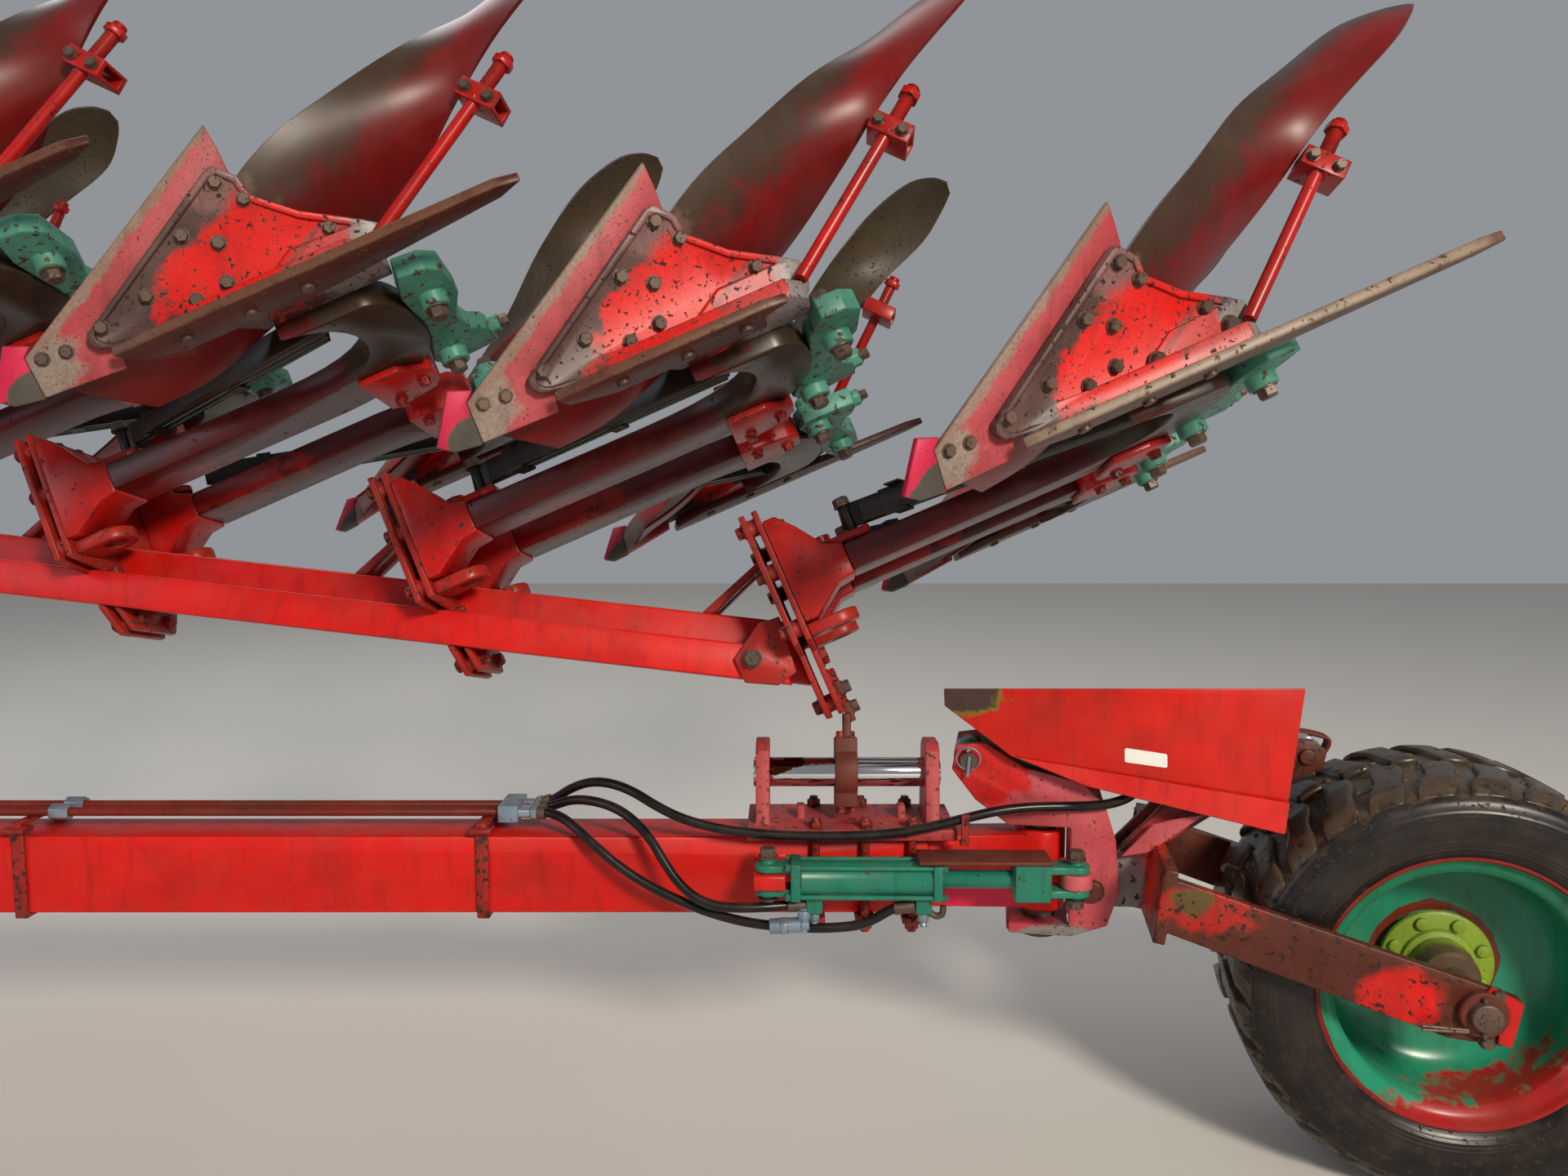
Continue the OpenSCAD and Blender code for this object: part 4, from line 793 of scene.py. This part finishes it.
# %% Rim and hub
RIM = [(298, -184), (297, -186), (291, -187), (287, -183), (284, -176), (272, -166), (258, -158), (253, -150),
       (252, -120), (252, -60), (248, -36), (238, -20), (222, -6), (190, 4), (140, 8), (80, 8), (80, 20), (150, 20),
       (200, 20), (228, 26), (246, 34), (252, 60), (252, 150), (258, 158), (272, 166), (284, 176), (287, 183),
       (291, 187), (297, 186), (298, 184), (298, 176), (281, 165), (263, 150), (262, 30), (262, -30), (263, -150),
       (281, -165), (298, -176)]
HUB = [(30.3, -110), (52, -110), (60, -102), (62, -80), (66, -60), (66, -34), (78, -30), (80, -21), (112, -20),
       (118, -17), (120, -11), (117, -4), (100, 7.7), (60, 9), (60, 102), (54, 110), (30.3, 110)]
for name, profile, steps, finish, slot, smooth_above in (
        ("rim_dished", RIM, 120, "rim_green", "green_paint", 40),
        ("hub_flanged", HUB, 72, "hub_paint", "hub_paint", 30)):
    mesh, node = turned(profile, WHEEL, steps), name.split("_")[0]
    make_piece(name, mesh, finish, BODY_OF[node], round_axle(mesh), smooth_above, node)

# %% [markdown]
# Bolts and nuts are the same small form many times: a hexagon with its corners turned
# off, on a washer. A rule puts one at each point and turns it to face the way that the
# point's attribute says, with its corners at an angle of its own.

# %% A rule for bolt heads
TO_CORNER, MIDDLE_RING, CORNER_RISE = 0.577, 0.25, 0.26
WASHER_HIGH, WASHER_AT, HEAD_AT = 0.003, 0.0014, 0.0028
bolt_rule, given = new_rule("bolt_heads", {
    "Points": "Geometry", "Across flats": "Float", "Head height": "Float", "Washer": "Float", "Sides": "Int",
    "Crown": "Float", "Finish": "Material"})
position = add(bolt_rule, "GeometryNodeInputPosition")
value = {socket.name: socket for socket in given}
value |= {socket.name: socket for socket in add(bolt_rule, "ShaderNodeSeparateXYZ", {0: position}, None)}
# A cylinder of two segments: its middle ring is raised to a corner, its top ring drawn in to the crown.
for title, operation, first, second in (
        ("radius", "MULTIPLY", "Across flats", TO_CORNER), ("washer radius", "MULTIPLY", "Washer", 0.5),
        ("height", "DIVIDE", "Z", "Head height"), ("top", "GREATER_THAN", "height", MIDDLE_RING),
        ("off foot", "GREATER_THAN", "height", -MIDDLE_RING), ("middle", "SUBTRACT", "off foot", "top"),
        ("drawn", "SUBTRACT", "Crown", 1.0), ("drawn", "MULTIPLY", "top", "drawn"), ("scale", "ADD", "drawn", 1.0),
        ("x", "MULTIPLY", "X", "scale"), ("y", "MULTIPLY", "Y", "scale"),
        ("lift", "MULTIPLY", "middle", CORNER_RISE), ("lift", "ADD", "lift", 0.5),
        ("lift", "MULTIPLY", "lift", "Head height"), ("z", "ADD", "lift", "Z"), ("z", "ADD", "z", HEAD_AT)):
    value[title] = add(bolt_rule, MATH, {0: value.get(first, first), 1: value.get(second, second)}, operation=operation)
head = add(bolt_rule, "GeometryNodeMeshCylinder", {"Vertices": value["Sides"], "Side Segments": 2,
                                                   "Radius": value["radius"], "Depth": value["Head height"]}, "Mesh")
moved = add(bolt_rule, "ShaderNodeCombineXYZ", {"X": value["x"], "Y": value["y"], "Z": value["z"]})
head = add(bolt_rule, "GeometryNodeSetPosition", {"Geometry": head, "Position": moved})
washer = add(bolt_rule, "GeometryNodeMeshCylinder",
             {"Vertices": 20, "Radius": value["washer radius"], "Depth": WASHER_HIGH}, "Mesh")
washer = add(bolt_rule, "GeometryNodeTransform", {"Geometry": washer, "Translation": (0, 0, WASHER_AT)})
both = add(bolt_rule, "GeometryNodeJoinGeometry")
for part in (head, washer):
    bolt_rule.links.new(part, both.node.inputs[0])
way = add(bolt_rule, "GeometryNodeInputNamedAttribute", {"Name": "way"}, "Attribute", data_type="FLOAT_VECTOR")
spin = add(bolt_rule, "GeometryNodeInputNamedAttribute", {"Name": "spin"}, "Attribute", data_type="FLOAT")
aim = add(bolt_rule, "FunctionNodeAlignRotationToVector", {"Vector": way}, axis="Z")
turned_by = add(bolt_rule, "ShaderNodeCombineXYZ", {"Z": spin})
aim = add(bolt_rule, "FunctionNodeRotateRotation", {"Rotation": aim, "Rotate By": turned_by}, rotation_space="LOCAL")
placed = add(bolt_rule, COPIES, {"Points": value["Points"], "Instance": both, "Rotation": aim})
close_rule(bolt_rule, placed, value["Finish"])
SPIN_STEP = 1.7


def bolts(name, body, places, across, height, washer, sides=6, crown=0.86, finish="bolt_steel"):
    """Bolt heads at (frame, point, outward direction), sizes in millimetres."""
    seeds = seeds_at(name, [at(m, *p) for m, p, d in places],
                     [(m.to_3x3() @ Vector(d)).normalized() for m, p, d in places],
                     spin=[SPIN_STEP * i for i in range(len(places))])
    mesh = grow(seeds, bolt_rule, {"Across flats": across * MM, "Head height": height * MM, "Washer": washer * MM,
                                   "Sides": sides, "Crown": crown, "Finish": FINISH[finish]})
    make_piece(name, mesh, finish, body, None, 25)


# %% Bolts of the plough bodies
FROG_BOLTS = [(566, -76), (573, -131), (446, -86), (476, -142), (628, -279), (314, -100), (218, -72), (424, -194),
              (362, -171)]
SHARE_BOLTS = [(106, -24), (142, -48)]
DOWN = (0, 0, -1)
for row, bodies in ROWS.items():
    rear, others = IN_SHARE[row][:1], IN_SHARE[row][1:]
    for kind, places, *sizes in (
            ("frog", every(IN_SHARE[row], [((u, v, -18.4), DOWN) for u, v in FROG_BOLTS]), 22, 13, 30),
            ("pad", every(rear, [((638, -342, -24.4), DOWN), ((486, -256, -24.4), DOWN)])
             + every(others, [((644, -366, -24.4), DOWN)]), 28, 16, 36),
            ("share", every(IN_SHARE[row], [((u, v, 0), DOWN) for u, v in SHARE_BOLTS]), 20, 9, 27),
            ("toggle", every(bodies, [((x, s * 52, z), (0, s, 0)) for s in SIDES for x, z in ((772, 285), (712, 575))]),
             36, 20, 50),
            ("toggle_ends", every(bodies, [((840, 0, 578), (1, 0, 0))]), 24, 18, 34),
            ("block", every(bodies, [((x, s * 47, z), (0, s, 0)) for s in SIDES for x, z in ((540, 655), (620, 600))]),
             24, 14, 32, 6, 0.86, "bolt_painted"),
            ("eye", every(bodies, [((-75, y, 552), (0, s, 0)) for y, s in ((116, 1), (32, -1))]), 32, 18, 40),
            ("landside", every(bodies, [((x, -14.3, z), (0, -1, 0)) for x, z in ((350, 62), (480, 70), (600, 66))]),
             22, 5, 26, 20, 0.7)):
        bolts(f"{kind}_{row}" if "_" in kind else f"{kind}_bolts_{row}", "plough_frame", places, *sizes)

# %% Bolts of the frame
COLLAR = CARRIAGE @ shift(118, 0, AXIS_Z) @ turn(90 - LEAN, "X")
STATIONS = [station(k) for k in range(PAIRS)]
PLATE_BOLTS = {(-255.2, 1): [(-109, 190), (-162, 100), (-216, 100), (-273, 60)],
               (-300.2, -1): [(150, 205), (40, 205), (-95, 205), (-270, 60)]}
bolts("plate_bolts", "plough_frame",
      [place for (x, way), spots in PLATE_BOLTS.items()
       for place in every(STATIONS, [((x, y, s * z), (way, 0, 0)) for y, z in spots for s in SIDES])],
      28, 15, 38, finish="bolt_painted")
bolts("head_bolts", "plough_frame",
      every(STATIONS, [((-225, y, s * z), (1, 0, 0)) for y, z in ((-70, 175), (128, 140), (128, 210)) for s in SIDES]),
      26, 15, 36, finish="bolt_painted")
bolts("link_bolts", "plough_frame",
      every(STATIONS[:1], [((-236.5, y, 0), (1, 0, 0)) for y in (-248, -298)]), 26, 16, 36)
bolts("collar_bolts", "plough_frame",
      [(COLLAR, (x, s * 80, z), (0, s, 0)) for s in SIDES for x, z in ((14, 20), (38, -20))], 20, 12, 26,
      finish="bolt_painted")
bolts("rail_end_bolt", "plough_frame", [(TURNED, (-62, 257, 162), (0, 0, 1))], 34, 10, 42)

# %% Bolts of the carriage and the wheel carrier
bolts("strap_nuts", "carriage",
      [(CARRIAGE, (x, s * 75, 736.6), (0, 0, 1)) for x in (-690, -1750, -2800) for s in SIDES], 26, 16, 32,
      finish="bolt_painted")
bolts("axle_plate_bolts", "wheel_arm",
      [(SWIVEL, (x, -263.5, z), (0, -1, 0)) for x, z in ((896, 500), (880, 400))], 24, 14, 30)
bolts("hub_rivets", "wheel",
      [(WHEEL, (98 * math.cos(a), -20, 98 * math.sin(a)), (0, -1, 0))
       for a in (math.radians(22.5 + 45 * i) for i in range(8))], 24, 8, 27, 20, 0.62, "hub_paint")
bolts("bearing_bolts", "carriage",
      [(CARRIAGE, (x, s * 75, 800), (d, 0, 0)) for x, d in ((-3820, 1), (-4060, -1)) for s in SIDES], 30, 18, 40,
      finish="bolt_painted")

# %% [markdown]
# Small parts that a machine of this kind is full of: tie rods, ferrules, pins, straps
# and folded flanges. Bars and plates are built from the CAD's own coordinates and get
# their edges rounded like everything else.

# %% Bars, plates, rings and wires
def bars(name, body, finish, runs, edge_mm=0.8):
    """Closed bars, given as (frame, from, to, diameter), and their number of sides where they aren't round."""
    form = bmesh.new()
    for matrix, a, b, diameter, *sides in runs:
        start, end = at(matrix, *a), at(matrix, *b)
        along = end - start
        place = Matrix.Translation((start + end) / 2) @ along.to_track_quat("Z", "Y").to_matrix().to_4x4()
        bmesh.ops.create_cone(form, cap_ends=True, segments=sides[0] if sides else 20, radius1=diameter * MM / 2,
                              radius2=diameter * MM / 2, depth=along.length, matrix=place)
    make_piece(name, round_edges(mesh_of(form, name), edge_mm, 1), finish, body)


def plates(name, body, finish, sheets, edge_mm=0.8, lean=0):
    """Plates from outlines of (x, z) at y of a frame, with their thickness. lean tips the low edge outwards."""
    form = bmesh.new()
    for matrix, outline, y, thick in sheets:
        low, high = min(z for x, z in outline), max(z for x, z in outline)
        tip = [lean * (high - z) / max(high - low, 1) * (1 if y > 0 else -1) for x, z in outline]
        near, far = ([form.verts.new(at(matrix, x, y + t + depth, z)) for (x, z), t in zip(outline, tip)]
                     for depth in (0, thick))
        form.faces.new(near)
        form.faces.new(far[::-1])
        for i in range(len(outline)):
            j = (i + 1) % len(outline)
            form.faces.new([near[i], far[i], far[j], near[j]])
    make_piece(name, round_edges(mesh_of(form, name, outward=True), edge_mm, 1), finish, body)


def ring(matrix, radius, wire):
    """A wire ring round the matrix's Y axis."""
    return turned([(radius + wire * math.cos(a), wire * math.sin(a)) for a in (math.pi / 4 * i for i in range(8))],
                  matrix, 40)


def round_curve(name, points, diameter, kind, fine):
    """A round wire or hose along points in metres, as a curve of one spline."""
    curve = bpy.data.curves.new(name, "CURVE")
    curve.dimensions = "3D"
    curve.bevel_depth = diameter * MM / 2
    curve.bevel_resolution = fine
    curve.use_fill_caps = True
    spline = curve.splines.new(kind)
    spline.points.add(len(points) - 1)
    for place, point in zip(spline.points, points):
        place.co = (*point, 1.0)
    spline.order_u = 3
    spline.use_endpoint_u = True
    spline.resolution_u = 6
    return holder_of(curve, name)


def bent_wires(name, body, finish, routes, diameter):
    """Bent round bars along smooth lines through knots, given as (frame, knots)."""
    parts = []
    for matrix, knots in routes:
        wire = round_curve(name, [at(matrix, *p) for p in smooth_line(knots, 5)], diameter, "POLY", 3)
        parts.append(baked(wire))
        bpy.data.objects.remove(wire)
    make_piece(name, joined(parts, name), finish, body)


# %% [markdown]
# The steering cylinder is of the tie-rod kind: two square ends held by four long rods
# with nuts. Three rubber hoses come from the block at the end of the beam's pipes. They
# end in pressed ferrules, and a bare coupler hangs below a port.

# %% Steering cylinder and hose ends
HOSE_D, FERRULE_D, PORT_NUT_D = 22, 29, 36
HOSE_ROUTES = {
    "hose_lift": [
        (-583, 36, 766), (-570, 36, 766), (-540, 28, 782), (-500, 8, 812), (-450, -24, 836),
        (-395, -60, 842), (-340, -92, 830), (-290, -112, 804), (-230, -122, 776), (-150, -124, 754),
        (-60, -124, 742), (40, -124, 737), (140, -124, 737), (240, -124, 742), (330, -124, 758),
        (410, -121, 778), (480, -116, 793), (545, -110, 799), (600, -107, 800), (644, -106, 800),
        (684, -113, 803), (726, -119, 808), (764, -121, 820), (790, -120, 838), (803, -118, 858),
        (807, -117, 874), (807, -117, 890)],
    "hose_steer_rear": [
        (-583, -36, 766), (-570, -36, 766), (-540, -46, 768), (-505, -72, 764), (-465, -104, 745),
        (-420, -124, 710), (-370, -134, 670), (-310, -142, 632), (-240, -150, 600), (-165, -158, 572),
        (-85, -166, 553), (0, -172, 545), (90, -175, 543), (165, -175, 549), (205, -173, 566),
        (238, -171, 586), (268, -171, 594), (289, -171, 594)],
    "hose_steer_front": [
        (-583, 0, 766), (-570, 0, 766), (-540, -8, 774), (-490, -30, 796), (-430, -62, 800),
        (-375, -92, 790), (-330, -118, 765), (-295, -138, 730), (-268, -154, 690), (-240, -168, 652),
        (-205, -180, 620), (-160, -187, 600), (-105, -187, 594), (-50, -182, 594), (-5, -172, 594),
        (20, -169, 594), (48, -169, 594)],
}
steer_base = at(CARRIAGE, -35, -165, 655)
eye_to_eye = at(SWIVEL, 72, -165, 655) - steer_base
STEER = Matrix.Translation(steer_base) @ turn(math.degrees(math.atan2(eye_to_eye.y, eye_to_eye.x)), "Z")
CORNERS = [(s * 32, t * 33) for s in SIDES for t in SIDES]
bars("steer_tie_rods", "steer_barrel", "green_paint",
     [(STEER, (60, y, z), (372, y, z), 11) for y, z in CORNERS])
bolts("steer_tie_nuts", "steer_barrel",
      [(STEER, (x, y, z), (d, 0, 0)) for y, z in CORNERS for x, d in ((382, 1), (50, -1))], 15, 9, 17,
      finish="green_paint")
bars("steer_ports", "steer_barrel", "fitting_zinc",
     [(STEER, (x, 0, -75), (x, 0, -96), 27, 6) for x in (102, 344)]
     + [(STEER, (344, 0, -95), (344, -6, -108), 16), (STEER, (102, 0, -95), (102, -4, -120), 20)])
bolts("steer_pin_nuts", "steer_barrel", [(STEER, (0, 0, -44), (0, 0, -1)), (STEER, (0, 0, 48), (0, 0, 1))], 34, 18, 44)
bolts("steer_eye_nuts", "steer_rod",
      [(STEER, (eye_to_eye.length / MM, 0, z), (0, 0, d)) for z, d in ((-45, -1), (45, 1))], 34, 18, 44)


def sleeve(hose, at_end, reach, diameter=FERRULE_D, sides=20):
    """A sleeve over the first or last reach millimetres of a hose's route."""
    points = HOSE_ROUTES[hose][::-1] if at_end else HOSE_ROUTES[hose]
    a, b = Vector(points[0]), Vector(points[2])
    return (CARRIAGE, a, a + (b - a).normalized() * reach, diameter, sides)


bars("hose_ferrules", "carriage", "bolt_steel",
     [sleeve(hose, False, 34) for hose in HOSE_ROUTES] + [sleeve("hose_steer_front", True, 40)])
bars("steer_hose_end", "steer_barrel", "bolt_steel", [sleeve("hose_steer_rear", True, 46)])
bars("lift_hose_end", "lift_barrel", "bolt_steel", [sleeve("hose_lift", True, 30)])
bars("port_nuts", "carriage", "fitting_zinc",
     [sleeve(hose, False, 15, PORT_NUT_D, 6) for hose in HOSE_ROUTES]
     + [(CARRIAGE, (-32, -176, 548), (38, -176, 552), 34), (CARRIAGE, (-8, -176, 549), (8, -176, 550), 40, 6),
        (CARRIAGE, (44, -176, 536), (44, -176, 592), 22), (CARRIAGE, (44, -176, 566), (44, -176, 586), 32, 6),
        (CARRIAGE, (30, -176, 551), (56, -176, 552), 26)])
bent_wires("steer_steel_tube", "steer_barrel", "bolt_steel",
           [(CARRIAGE, [(289, -171, 594), (306, -172, 590), (324, -174, 578), (338, -176, 572), (350, -178, 578),
                        (352, -178, 596)])], 15)
plates("hose_clip", "carriage", "clamp_red",
       [(CARRIAGE, [(396, 718), (414, 718), (414, 790), (396, 790)], -138, 4),
        (CARRIAGE, [(396, 718), (414, 718), (414, 724), (396, 724)], -136, 30)])
print("steering cylinder", round(eye_to_eye.length, 3), "m between its eyes")

# %% [markdown]
# The cover over the lift cylinder is a folded sheet. Its low edge is bent out as a
# flange that the sun has bleached, and a blank white patch sits on its side. A bent
# strap and a threaded rod show behind its end.

# %% Cover, horn pin and axle end
SKIRT = [(-66, 914), (141, 888), (340, 862), (521, 838), (512, 770), (95, 855)]
PATCH = [(175, 913), (178, 911), (263, 902), (266, 905), (265, 930), (262, 933), (178, 943), (174, 940)]
CURL = [(560, 862), (574, 880), (604, 898), (632, 920), (638, 946), (610, 956), (572, 962)]
plates("cover_flange", "wheel_arm", "skirt_red",
       [(SWIVEL, SKIRT, -119.5, 4), (SWIVEL, SKIRT, 115.5, 4)], 1.2, 15)
plates("cover_label", "wheel_arm", "label_white", [(SWIVEL, PATCH, -116.2, 1.4)], 0.3)
bent_wires("cover_strap", "wheel_arm", "rusty_steel",
           [(SWIVEL, [(x, y, z) for x, z in CURL]) for y in range(36, 76, 8)], 9)
bars("cover_screw", "wheel_arm", "bolt_steel",
     [(SWIVEL, (545, 60, 836), (616, 60, 864), 18)]
     + [(SWIVEL, (551 + 2.5 * i, 60, 838 + i), (552.2 + 2.5 * i, 60, 838.48 + i), 22) for i in range(25)], 0.2)
HORN = SWIVEL @ shift(-167, 0, 892)
make_piece("horn_pin_cap", turned([(0, -85), (19, -85), (21, -87), (21, -93), (18, -96), (0, -96)], HORN, 32),
           "bolt_steel", "lift_barrel")
make_piece("horn_pin_ring", ring(HORN @ shift(0, -97, 8) @ turn(8, "X"), 27, 2.2),
           "fitting_zinc", "lift_barrel")
bars("horn_pin_pins", "lift_barrel", "fitting_zinc",
     [(HORN, (-2, -98, -34), (2, -98, 14), 8), (HORN, (6, -96, 34), (-4, -99, 24), 7)])
plates("axle_plate", "wheel_arm", "frame_red",
       [(SWIVEL, [(900, 398), (928, 392), (946, 484), (884, 518), (872, 500), (905, 480)], -270, 7)], 1.5)
bars("axle_pins", "wheel_arm", "bolt_steel",
     [(SWIVEL, (866, -287, 500), (869, -287, 416), 9), (SWIVEL, (752, -284, 424), (840, -284, 426), 7),
      (SWIVEL, (752, -284, 432), (840, -284, 430), 7)])
make_piece("axle_collar", turned([(30.2, -264), (30.2, -281), (44, -281), (47, -278), (47, -264)], WHEEL, 48),
           "rusty_steel", "wheel_arm")
make_piece("valve_stem", turned([(0, -150), (5, -150), (5, -196), (3, -198), (0, -198)],
                                WHEEL @ turn(140, "Y") @ shift(232, 0, 0) @ turn(24, "Z"), 12),
           "bolt_steel", "wheel")
plates("swivel_ribs", "swivel", "faded_red",
       [(SWIVEL, [(201, 718), (243, 767), (304, 784), (355, 796), (237, 701), (175, 688)], -92, 8)], 1.5)

# %% [markdown]
# On the plough bodies, each stay ends in a thread with two nuts, held by a bent strap
# that is bolted through the board, and two bands keep each pack of leaves together.

# %% Stays and springs
STAY_A, STAY_B = Vector((738, 60, 138)), Vector((1075, 332, 220))
BANDS_AT, BAND_WIDE, BAND_DEEP, TAPER = (120, 380), 36, 58, 12
stay_way = (STAY_B - STAY_A).normalized()


def on_stay(bodies, starts, length, *sizes):
    """Bars along the stays of all bodies, each from a start in millimetres past the stay's end."""
    return [(m, STAY_B + stay_way * a, STAY_B + stay_way * (a + length), *sizes) for m in bodies for a in starts]


for row, bodies in ROWS.items():
    bars(f"stay_nuts_{row}", "plough_frame", "casting_red", on_stay(bodies, (-76, 30), 17, 46, 6))
    bars(f"stay_threads_{row}", "plough_frame", "casting_red",
         on_stay(bodies, range(-56, 58, 5), 2, 31), 0.3)
    bolts(f"stay_bolts_{row}", "plough_frame",
          every([m @ shift(1035, 294.2, 186) @ turn(40, "Z") for m in bodies],
                [((0, y, -0.2), DOWN) for y in (-26, 28)]), 20, 11, 26)
    springs = [m @ SPRING for m in bodies]
    plates(f"spring_bands_{row}", "plough_frame", "black_steel",
           every(springs, [([(x, 4), (x + BAND_WIDE, 4), (x + BAND_WIDE, x / TAPER - BAND_DEEP),
                             (x, x / TAPER - BAND_DEEP)], y, 4) for x in BANDS_AT for y in (-33, 29)])
           + every(springs, [([(x, 1), (x + BAND_WIDE, 1), (x + BAND_WIDE, 5), (x, 5)], -33, 66) for x in BANDS_AT]))
    bars(f"head_lugs_{row}", "plough_frame", "casting_red",
         every(bodies, [((-150, 60, 585), (-150, 78, 585), 46)]), 2)

# %% [markdown]
# The photograph ends before the front of the plough. What belongs there was finished
# from the type: caps and ports on the turnover drive, pins with rings on the parking
# stands, a top link pin, and linch pins on the lower link pins.

# %% Front end
DRIVE_X, DRIVE_Z, DRIVE_END, PORT_Y = -3940, 983, 312, 276
STAND_X, STAND_Y, STAND_Z, LINK_PIN_Y = -4120, 300, 640, 588
bars("drive_caps", "carriage", "green_paint",
     [(CARRIAGE, (DRIVE_X, s * (DRIVE_END - 22), DRIVE_Z), (DRIVE_X, s * DRIVE_END, DRIVE_Z), 120, 48)
      for s in SIDES], 3)
bolts("drive_cap_bolts", "carriage",
      [(CARRIAGE, (DRIVE_X + 42 * math.cos(a), s * DRIVE_END, DRIVE_Z + 42 * math.sin(a)), (0, s, 0))
       for s in SIDES for a in (math.radians(45 + 90 * i) for i in range(4))], 18, 11, 24)
bars("drive_ports", "carriage", "fitting_zinc",
     [(CARRIAGE, (DRIVE_X, s * PORT_Y, DRIVE_Z + low), (DRIVE_X, s * PORT_Y, DRIVE_Z + high), *sizes)
      for low, high, *sizes in ((50, 74, 30, 6), (70, 86, 20)) for s in SIDES])
bolts("drive_foot_bolts", "carriage",
      [(CARRIAGE, (x, s * 88, 970), (0, 0, 1)) for x in (-3968, -3912) for s in SIDES], 19, 12, 26)
bars("stand_pins", "carriage", "bolt_steel",
     [(CARRIAGE, (STAND_X, s * STAND_Y + t * 45, STAND_Z), (STAND_X, s * STAND_Y + t * 64, STAND_Z), 26)
      for s in SIDES for t in SIDES])
make_piece("stand_pin_rings",
           joined([ring(CARRIAGE @ shift(STAND_X, s * (STAND_Y + 68), STAND_Z - 24), 24, 3) for s in SIDES]),
           "fitting_zinc", "carriage")
LINK = CARRIAGE @ shift(-4560, 0, 620)
bars("link_pin_keys", "cross_shaft", "bolt_steel",
     [(LINK, (0, s * LINK_PIN_Y, -30), (0, s * LINK_PIN_Y, 36), 11) for s in SIDES])
make_piece("link_pin_rings",
           joined([ring(LINK @ shift(0, s * LINK_PIN_Y, 6) @ turn(90, "Z"), 32, 2.6) for s in SIDES]),
           "fitting_zinc", "cross_shaft")
bars("top_link_pin", "headstock", "bolt_steel",
     [(CARRIAGE, (-4450, -134, 784), (-4450, 134, 784), 25), (CARRIAGE, (-4450, -146, 784), (-4450, -132, 784), 42)])
bolts("hitch_pin_nipple", "carriage", [(CARRIAGE, (-4250, 0, 788), (0, 0, 1))], 14, 12, 20)

# %% [markdown]
# Each hose is a curve through the CAD route's own points, so its length and its bends
# are real. The two that run to the swivel and the steering barrel are made into meshes
# in their place and ride on no body; the others ride on the carriage.

# %% Hoses
BENDS_TO = {"hose_lift": ("swivel", (410, -121, 778), (790, -120, 838)),
            "hose_steer_rear": ("steer_barrel", (56, -175, 543), (245, -171, 588))}
for name, route in HOSE_ROUTES.items():
    points = [at(CARRIAGE, *p) for p in route]
    hose = round_curve(f"{name}_rubber", points, HOSE_D, "NURBS", 4)
    hose.data.materials.append(FINISH["hose_rubber"])
    if name in BENDS_TO:
        tube = baked(hose)
        bpy.data.objects.remove(hose)
        hose = holder_of(tube, f"{name}_rubber")
        body, start, end = BENDS_TO[name]
        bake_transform(hose)
    else:
        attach(hose, BODY_OF[name])
    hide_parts(name)

# %% [markdown]
# A plain pale floor, a large soft lamp where the sun stood in the photograph, behind
# the camera and to its right, a dim even sky, and two weak lamps for the other sides.

# %% Floor and light
FLOOR_HALF = 14.0
floor_mesh = bpy.data.meshes.new("floor")
floor_mesh.from_pydata([(x * FLOOR_HALF, y * FLOOR_HALF, 0) for x, y in ((-1, -1), (1, -1), (1, 1), (-1, 1))],
                       [], [(0, 1, 2, 3)])
floor = holder_of(floor_mesh, "floor")
plaster = bpy.data.materials.new("floor_pale")
plaster.use_nodes = True
plaster.node_tree.nodes["Principled BSDF"].inputs["Base Color"].default_value = linear("#CFCBC4")
plaster.node_tree.nodes["Principled BSDF"].inputs["Roughness"].default_value = 0.9
floor_mesh.materials.append(plaster)

world = bpy.data.worlds.new("sky")
bpy.context.scene.world = world
world.use_nodes = True
world.node_tree.nodes["Background"].inputs["Color"].default_value = linear("#E6EAF0")
world.node_tree.nodes["Background"].inputs["Strength"].default_value = 0.36
bpy.context.scene.view_settings.view_transform = "Standard"

for name, place, target, wide, power, colour in (
        ("key_light", (5.2, -8.0, 5.2), (0.9, 0.2, 0.9), 1.6, 900, "#FFF4E4"),
        ("fill_light", (-6.5, -5.0, 4.0), (0.0, 0.0, 0.8), 4.0, 110, "#EAF1FF"),
        ("back_light", (-2.5, 3.5, 8.0), (0.0, 0.2, 1.0), 5.0, 260, "#FFFFFF")):
    lamp = bpy.data.lights.new(name, "AREA")
    lamp.shape = "SQUARE"
    lamp.size = wide
    lamp.energy = power
    lamp.color = linear(colour)[:3]
    stand = holder_of(lamp, name)
    stand.location = place
    stand.rotation_euler = (Vector(target) - Vector(place)).to_track_quat("-Z", "Y").to_euler()
    print(name, power, "W")
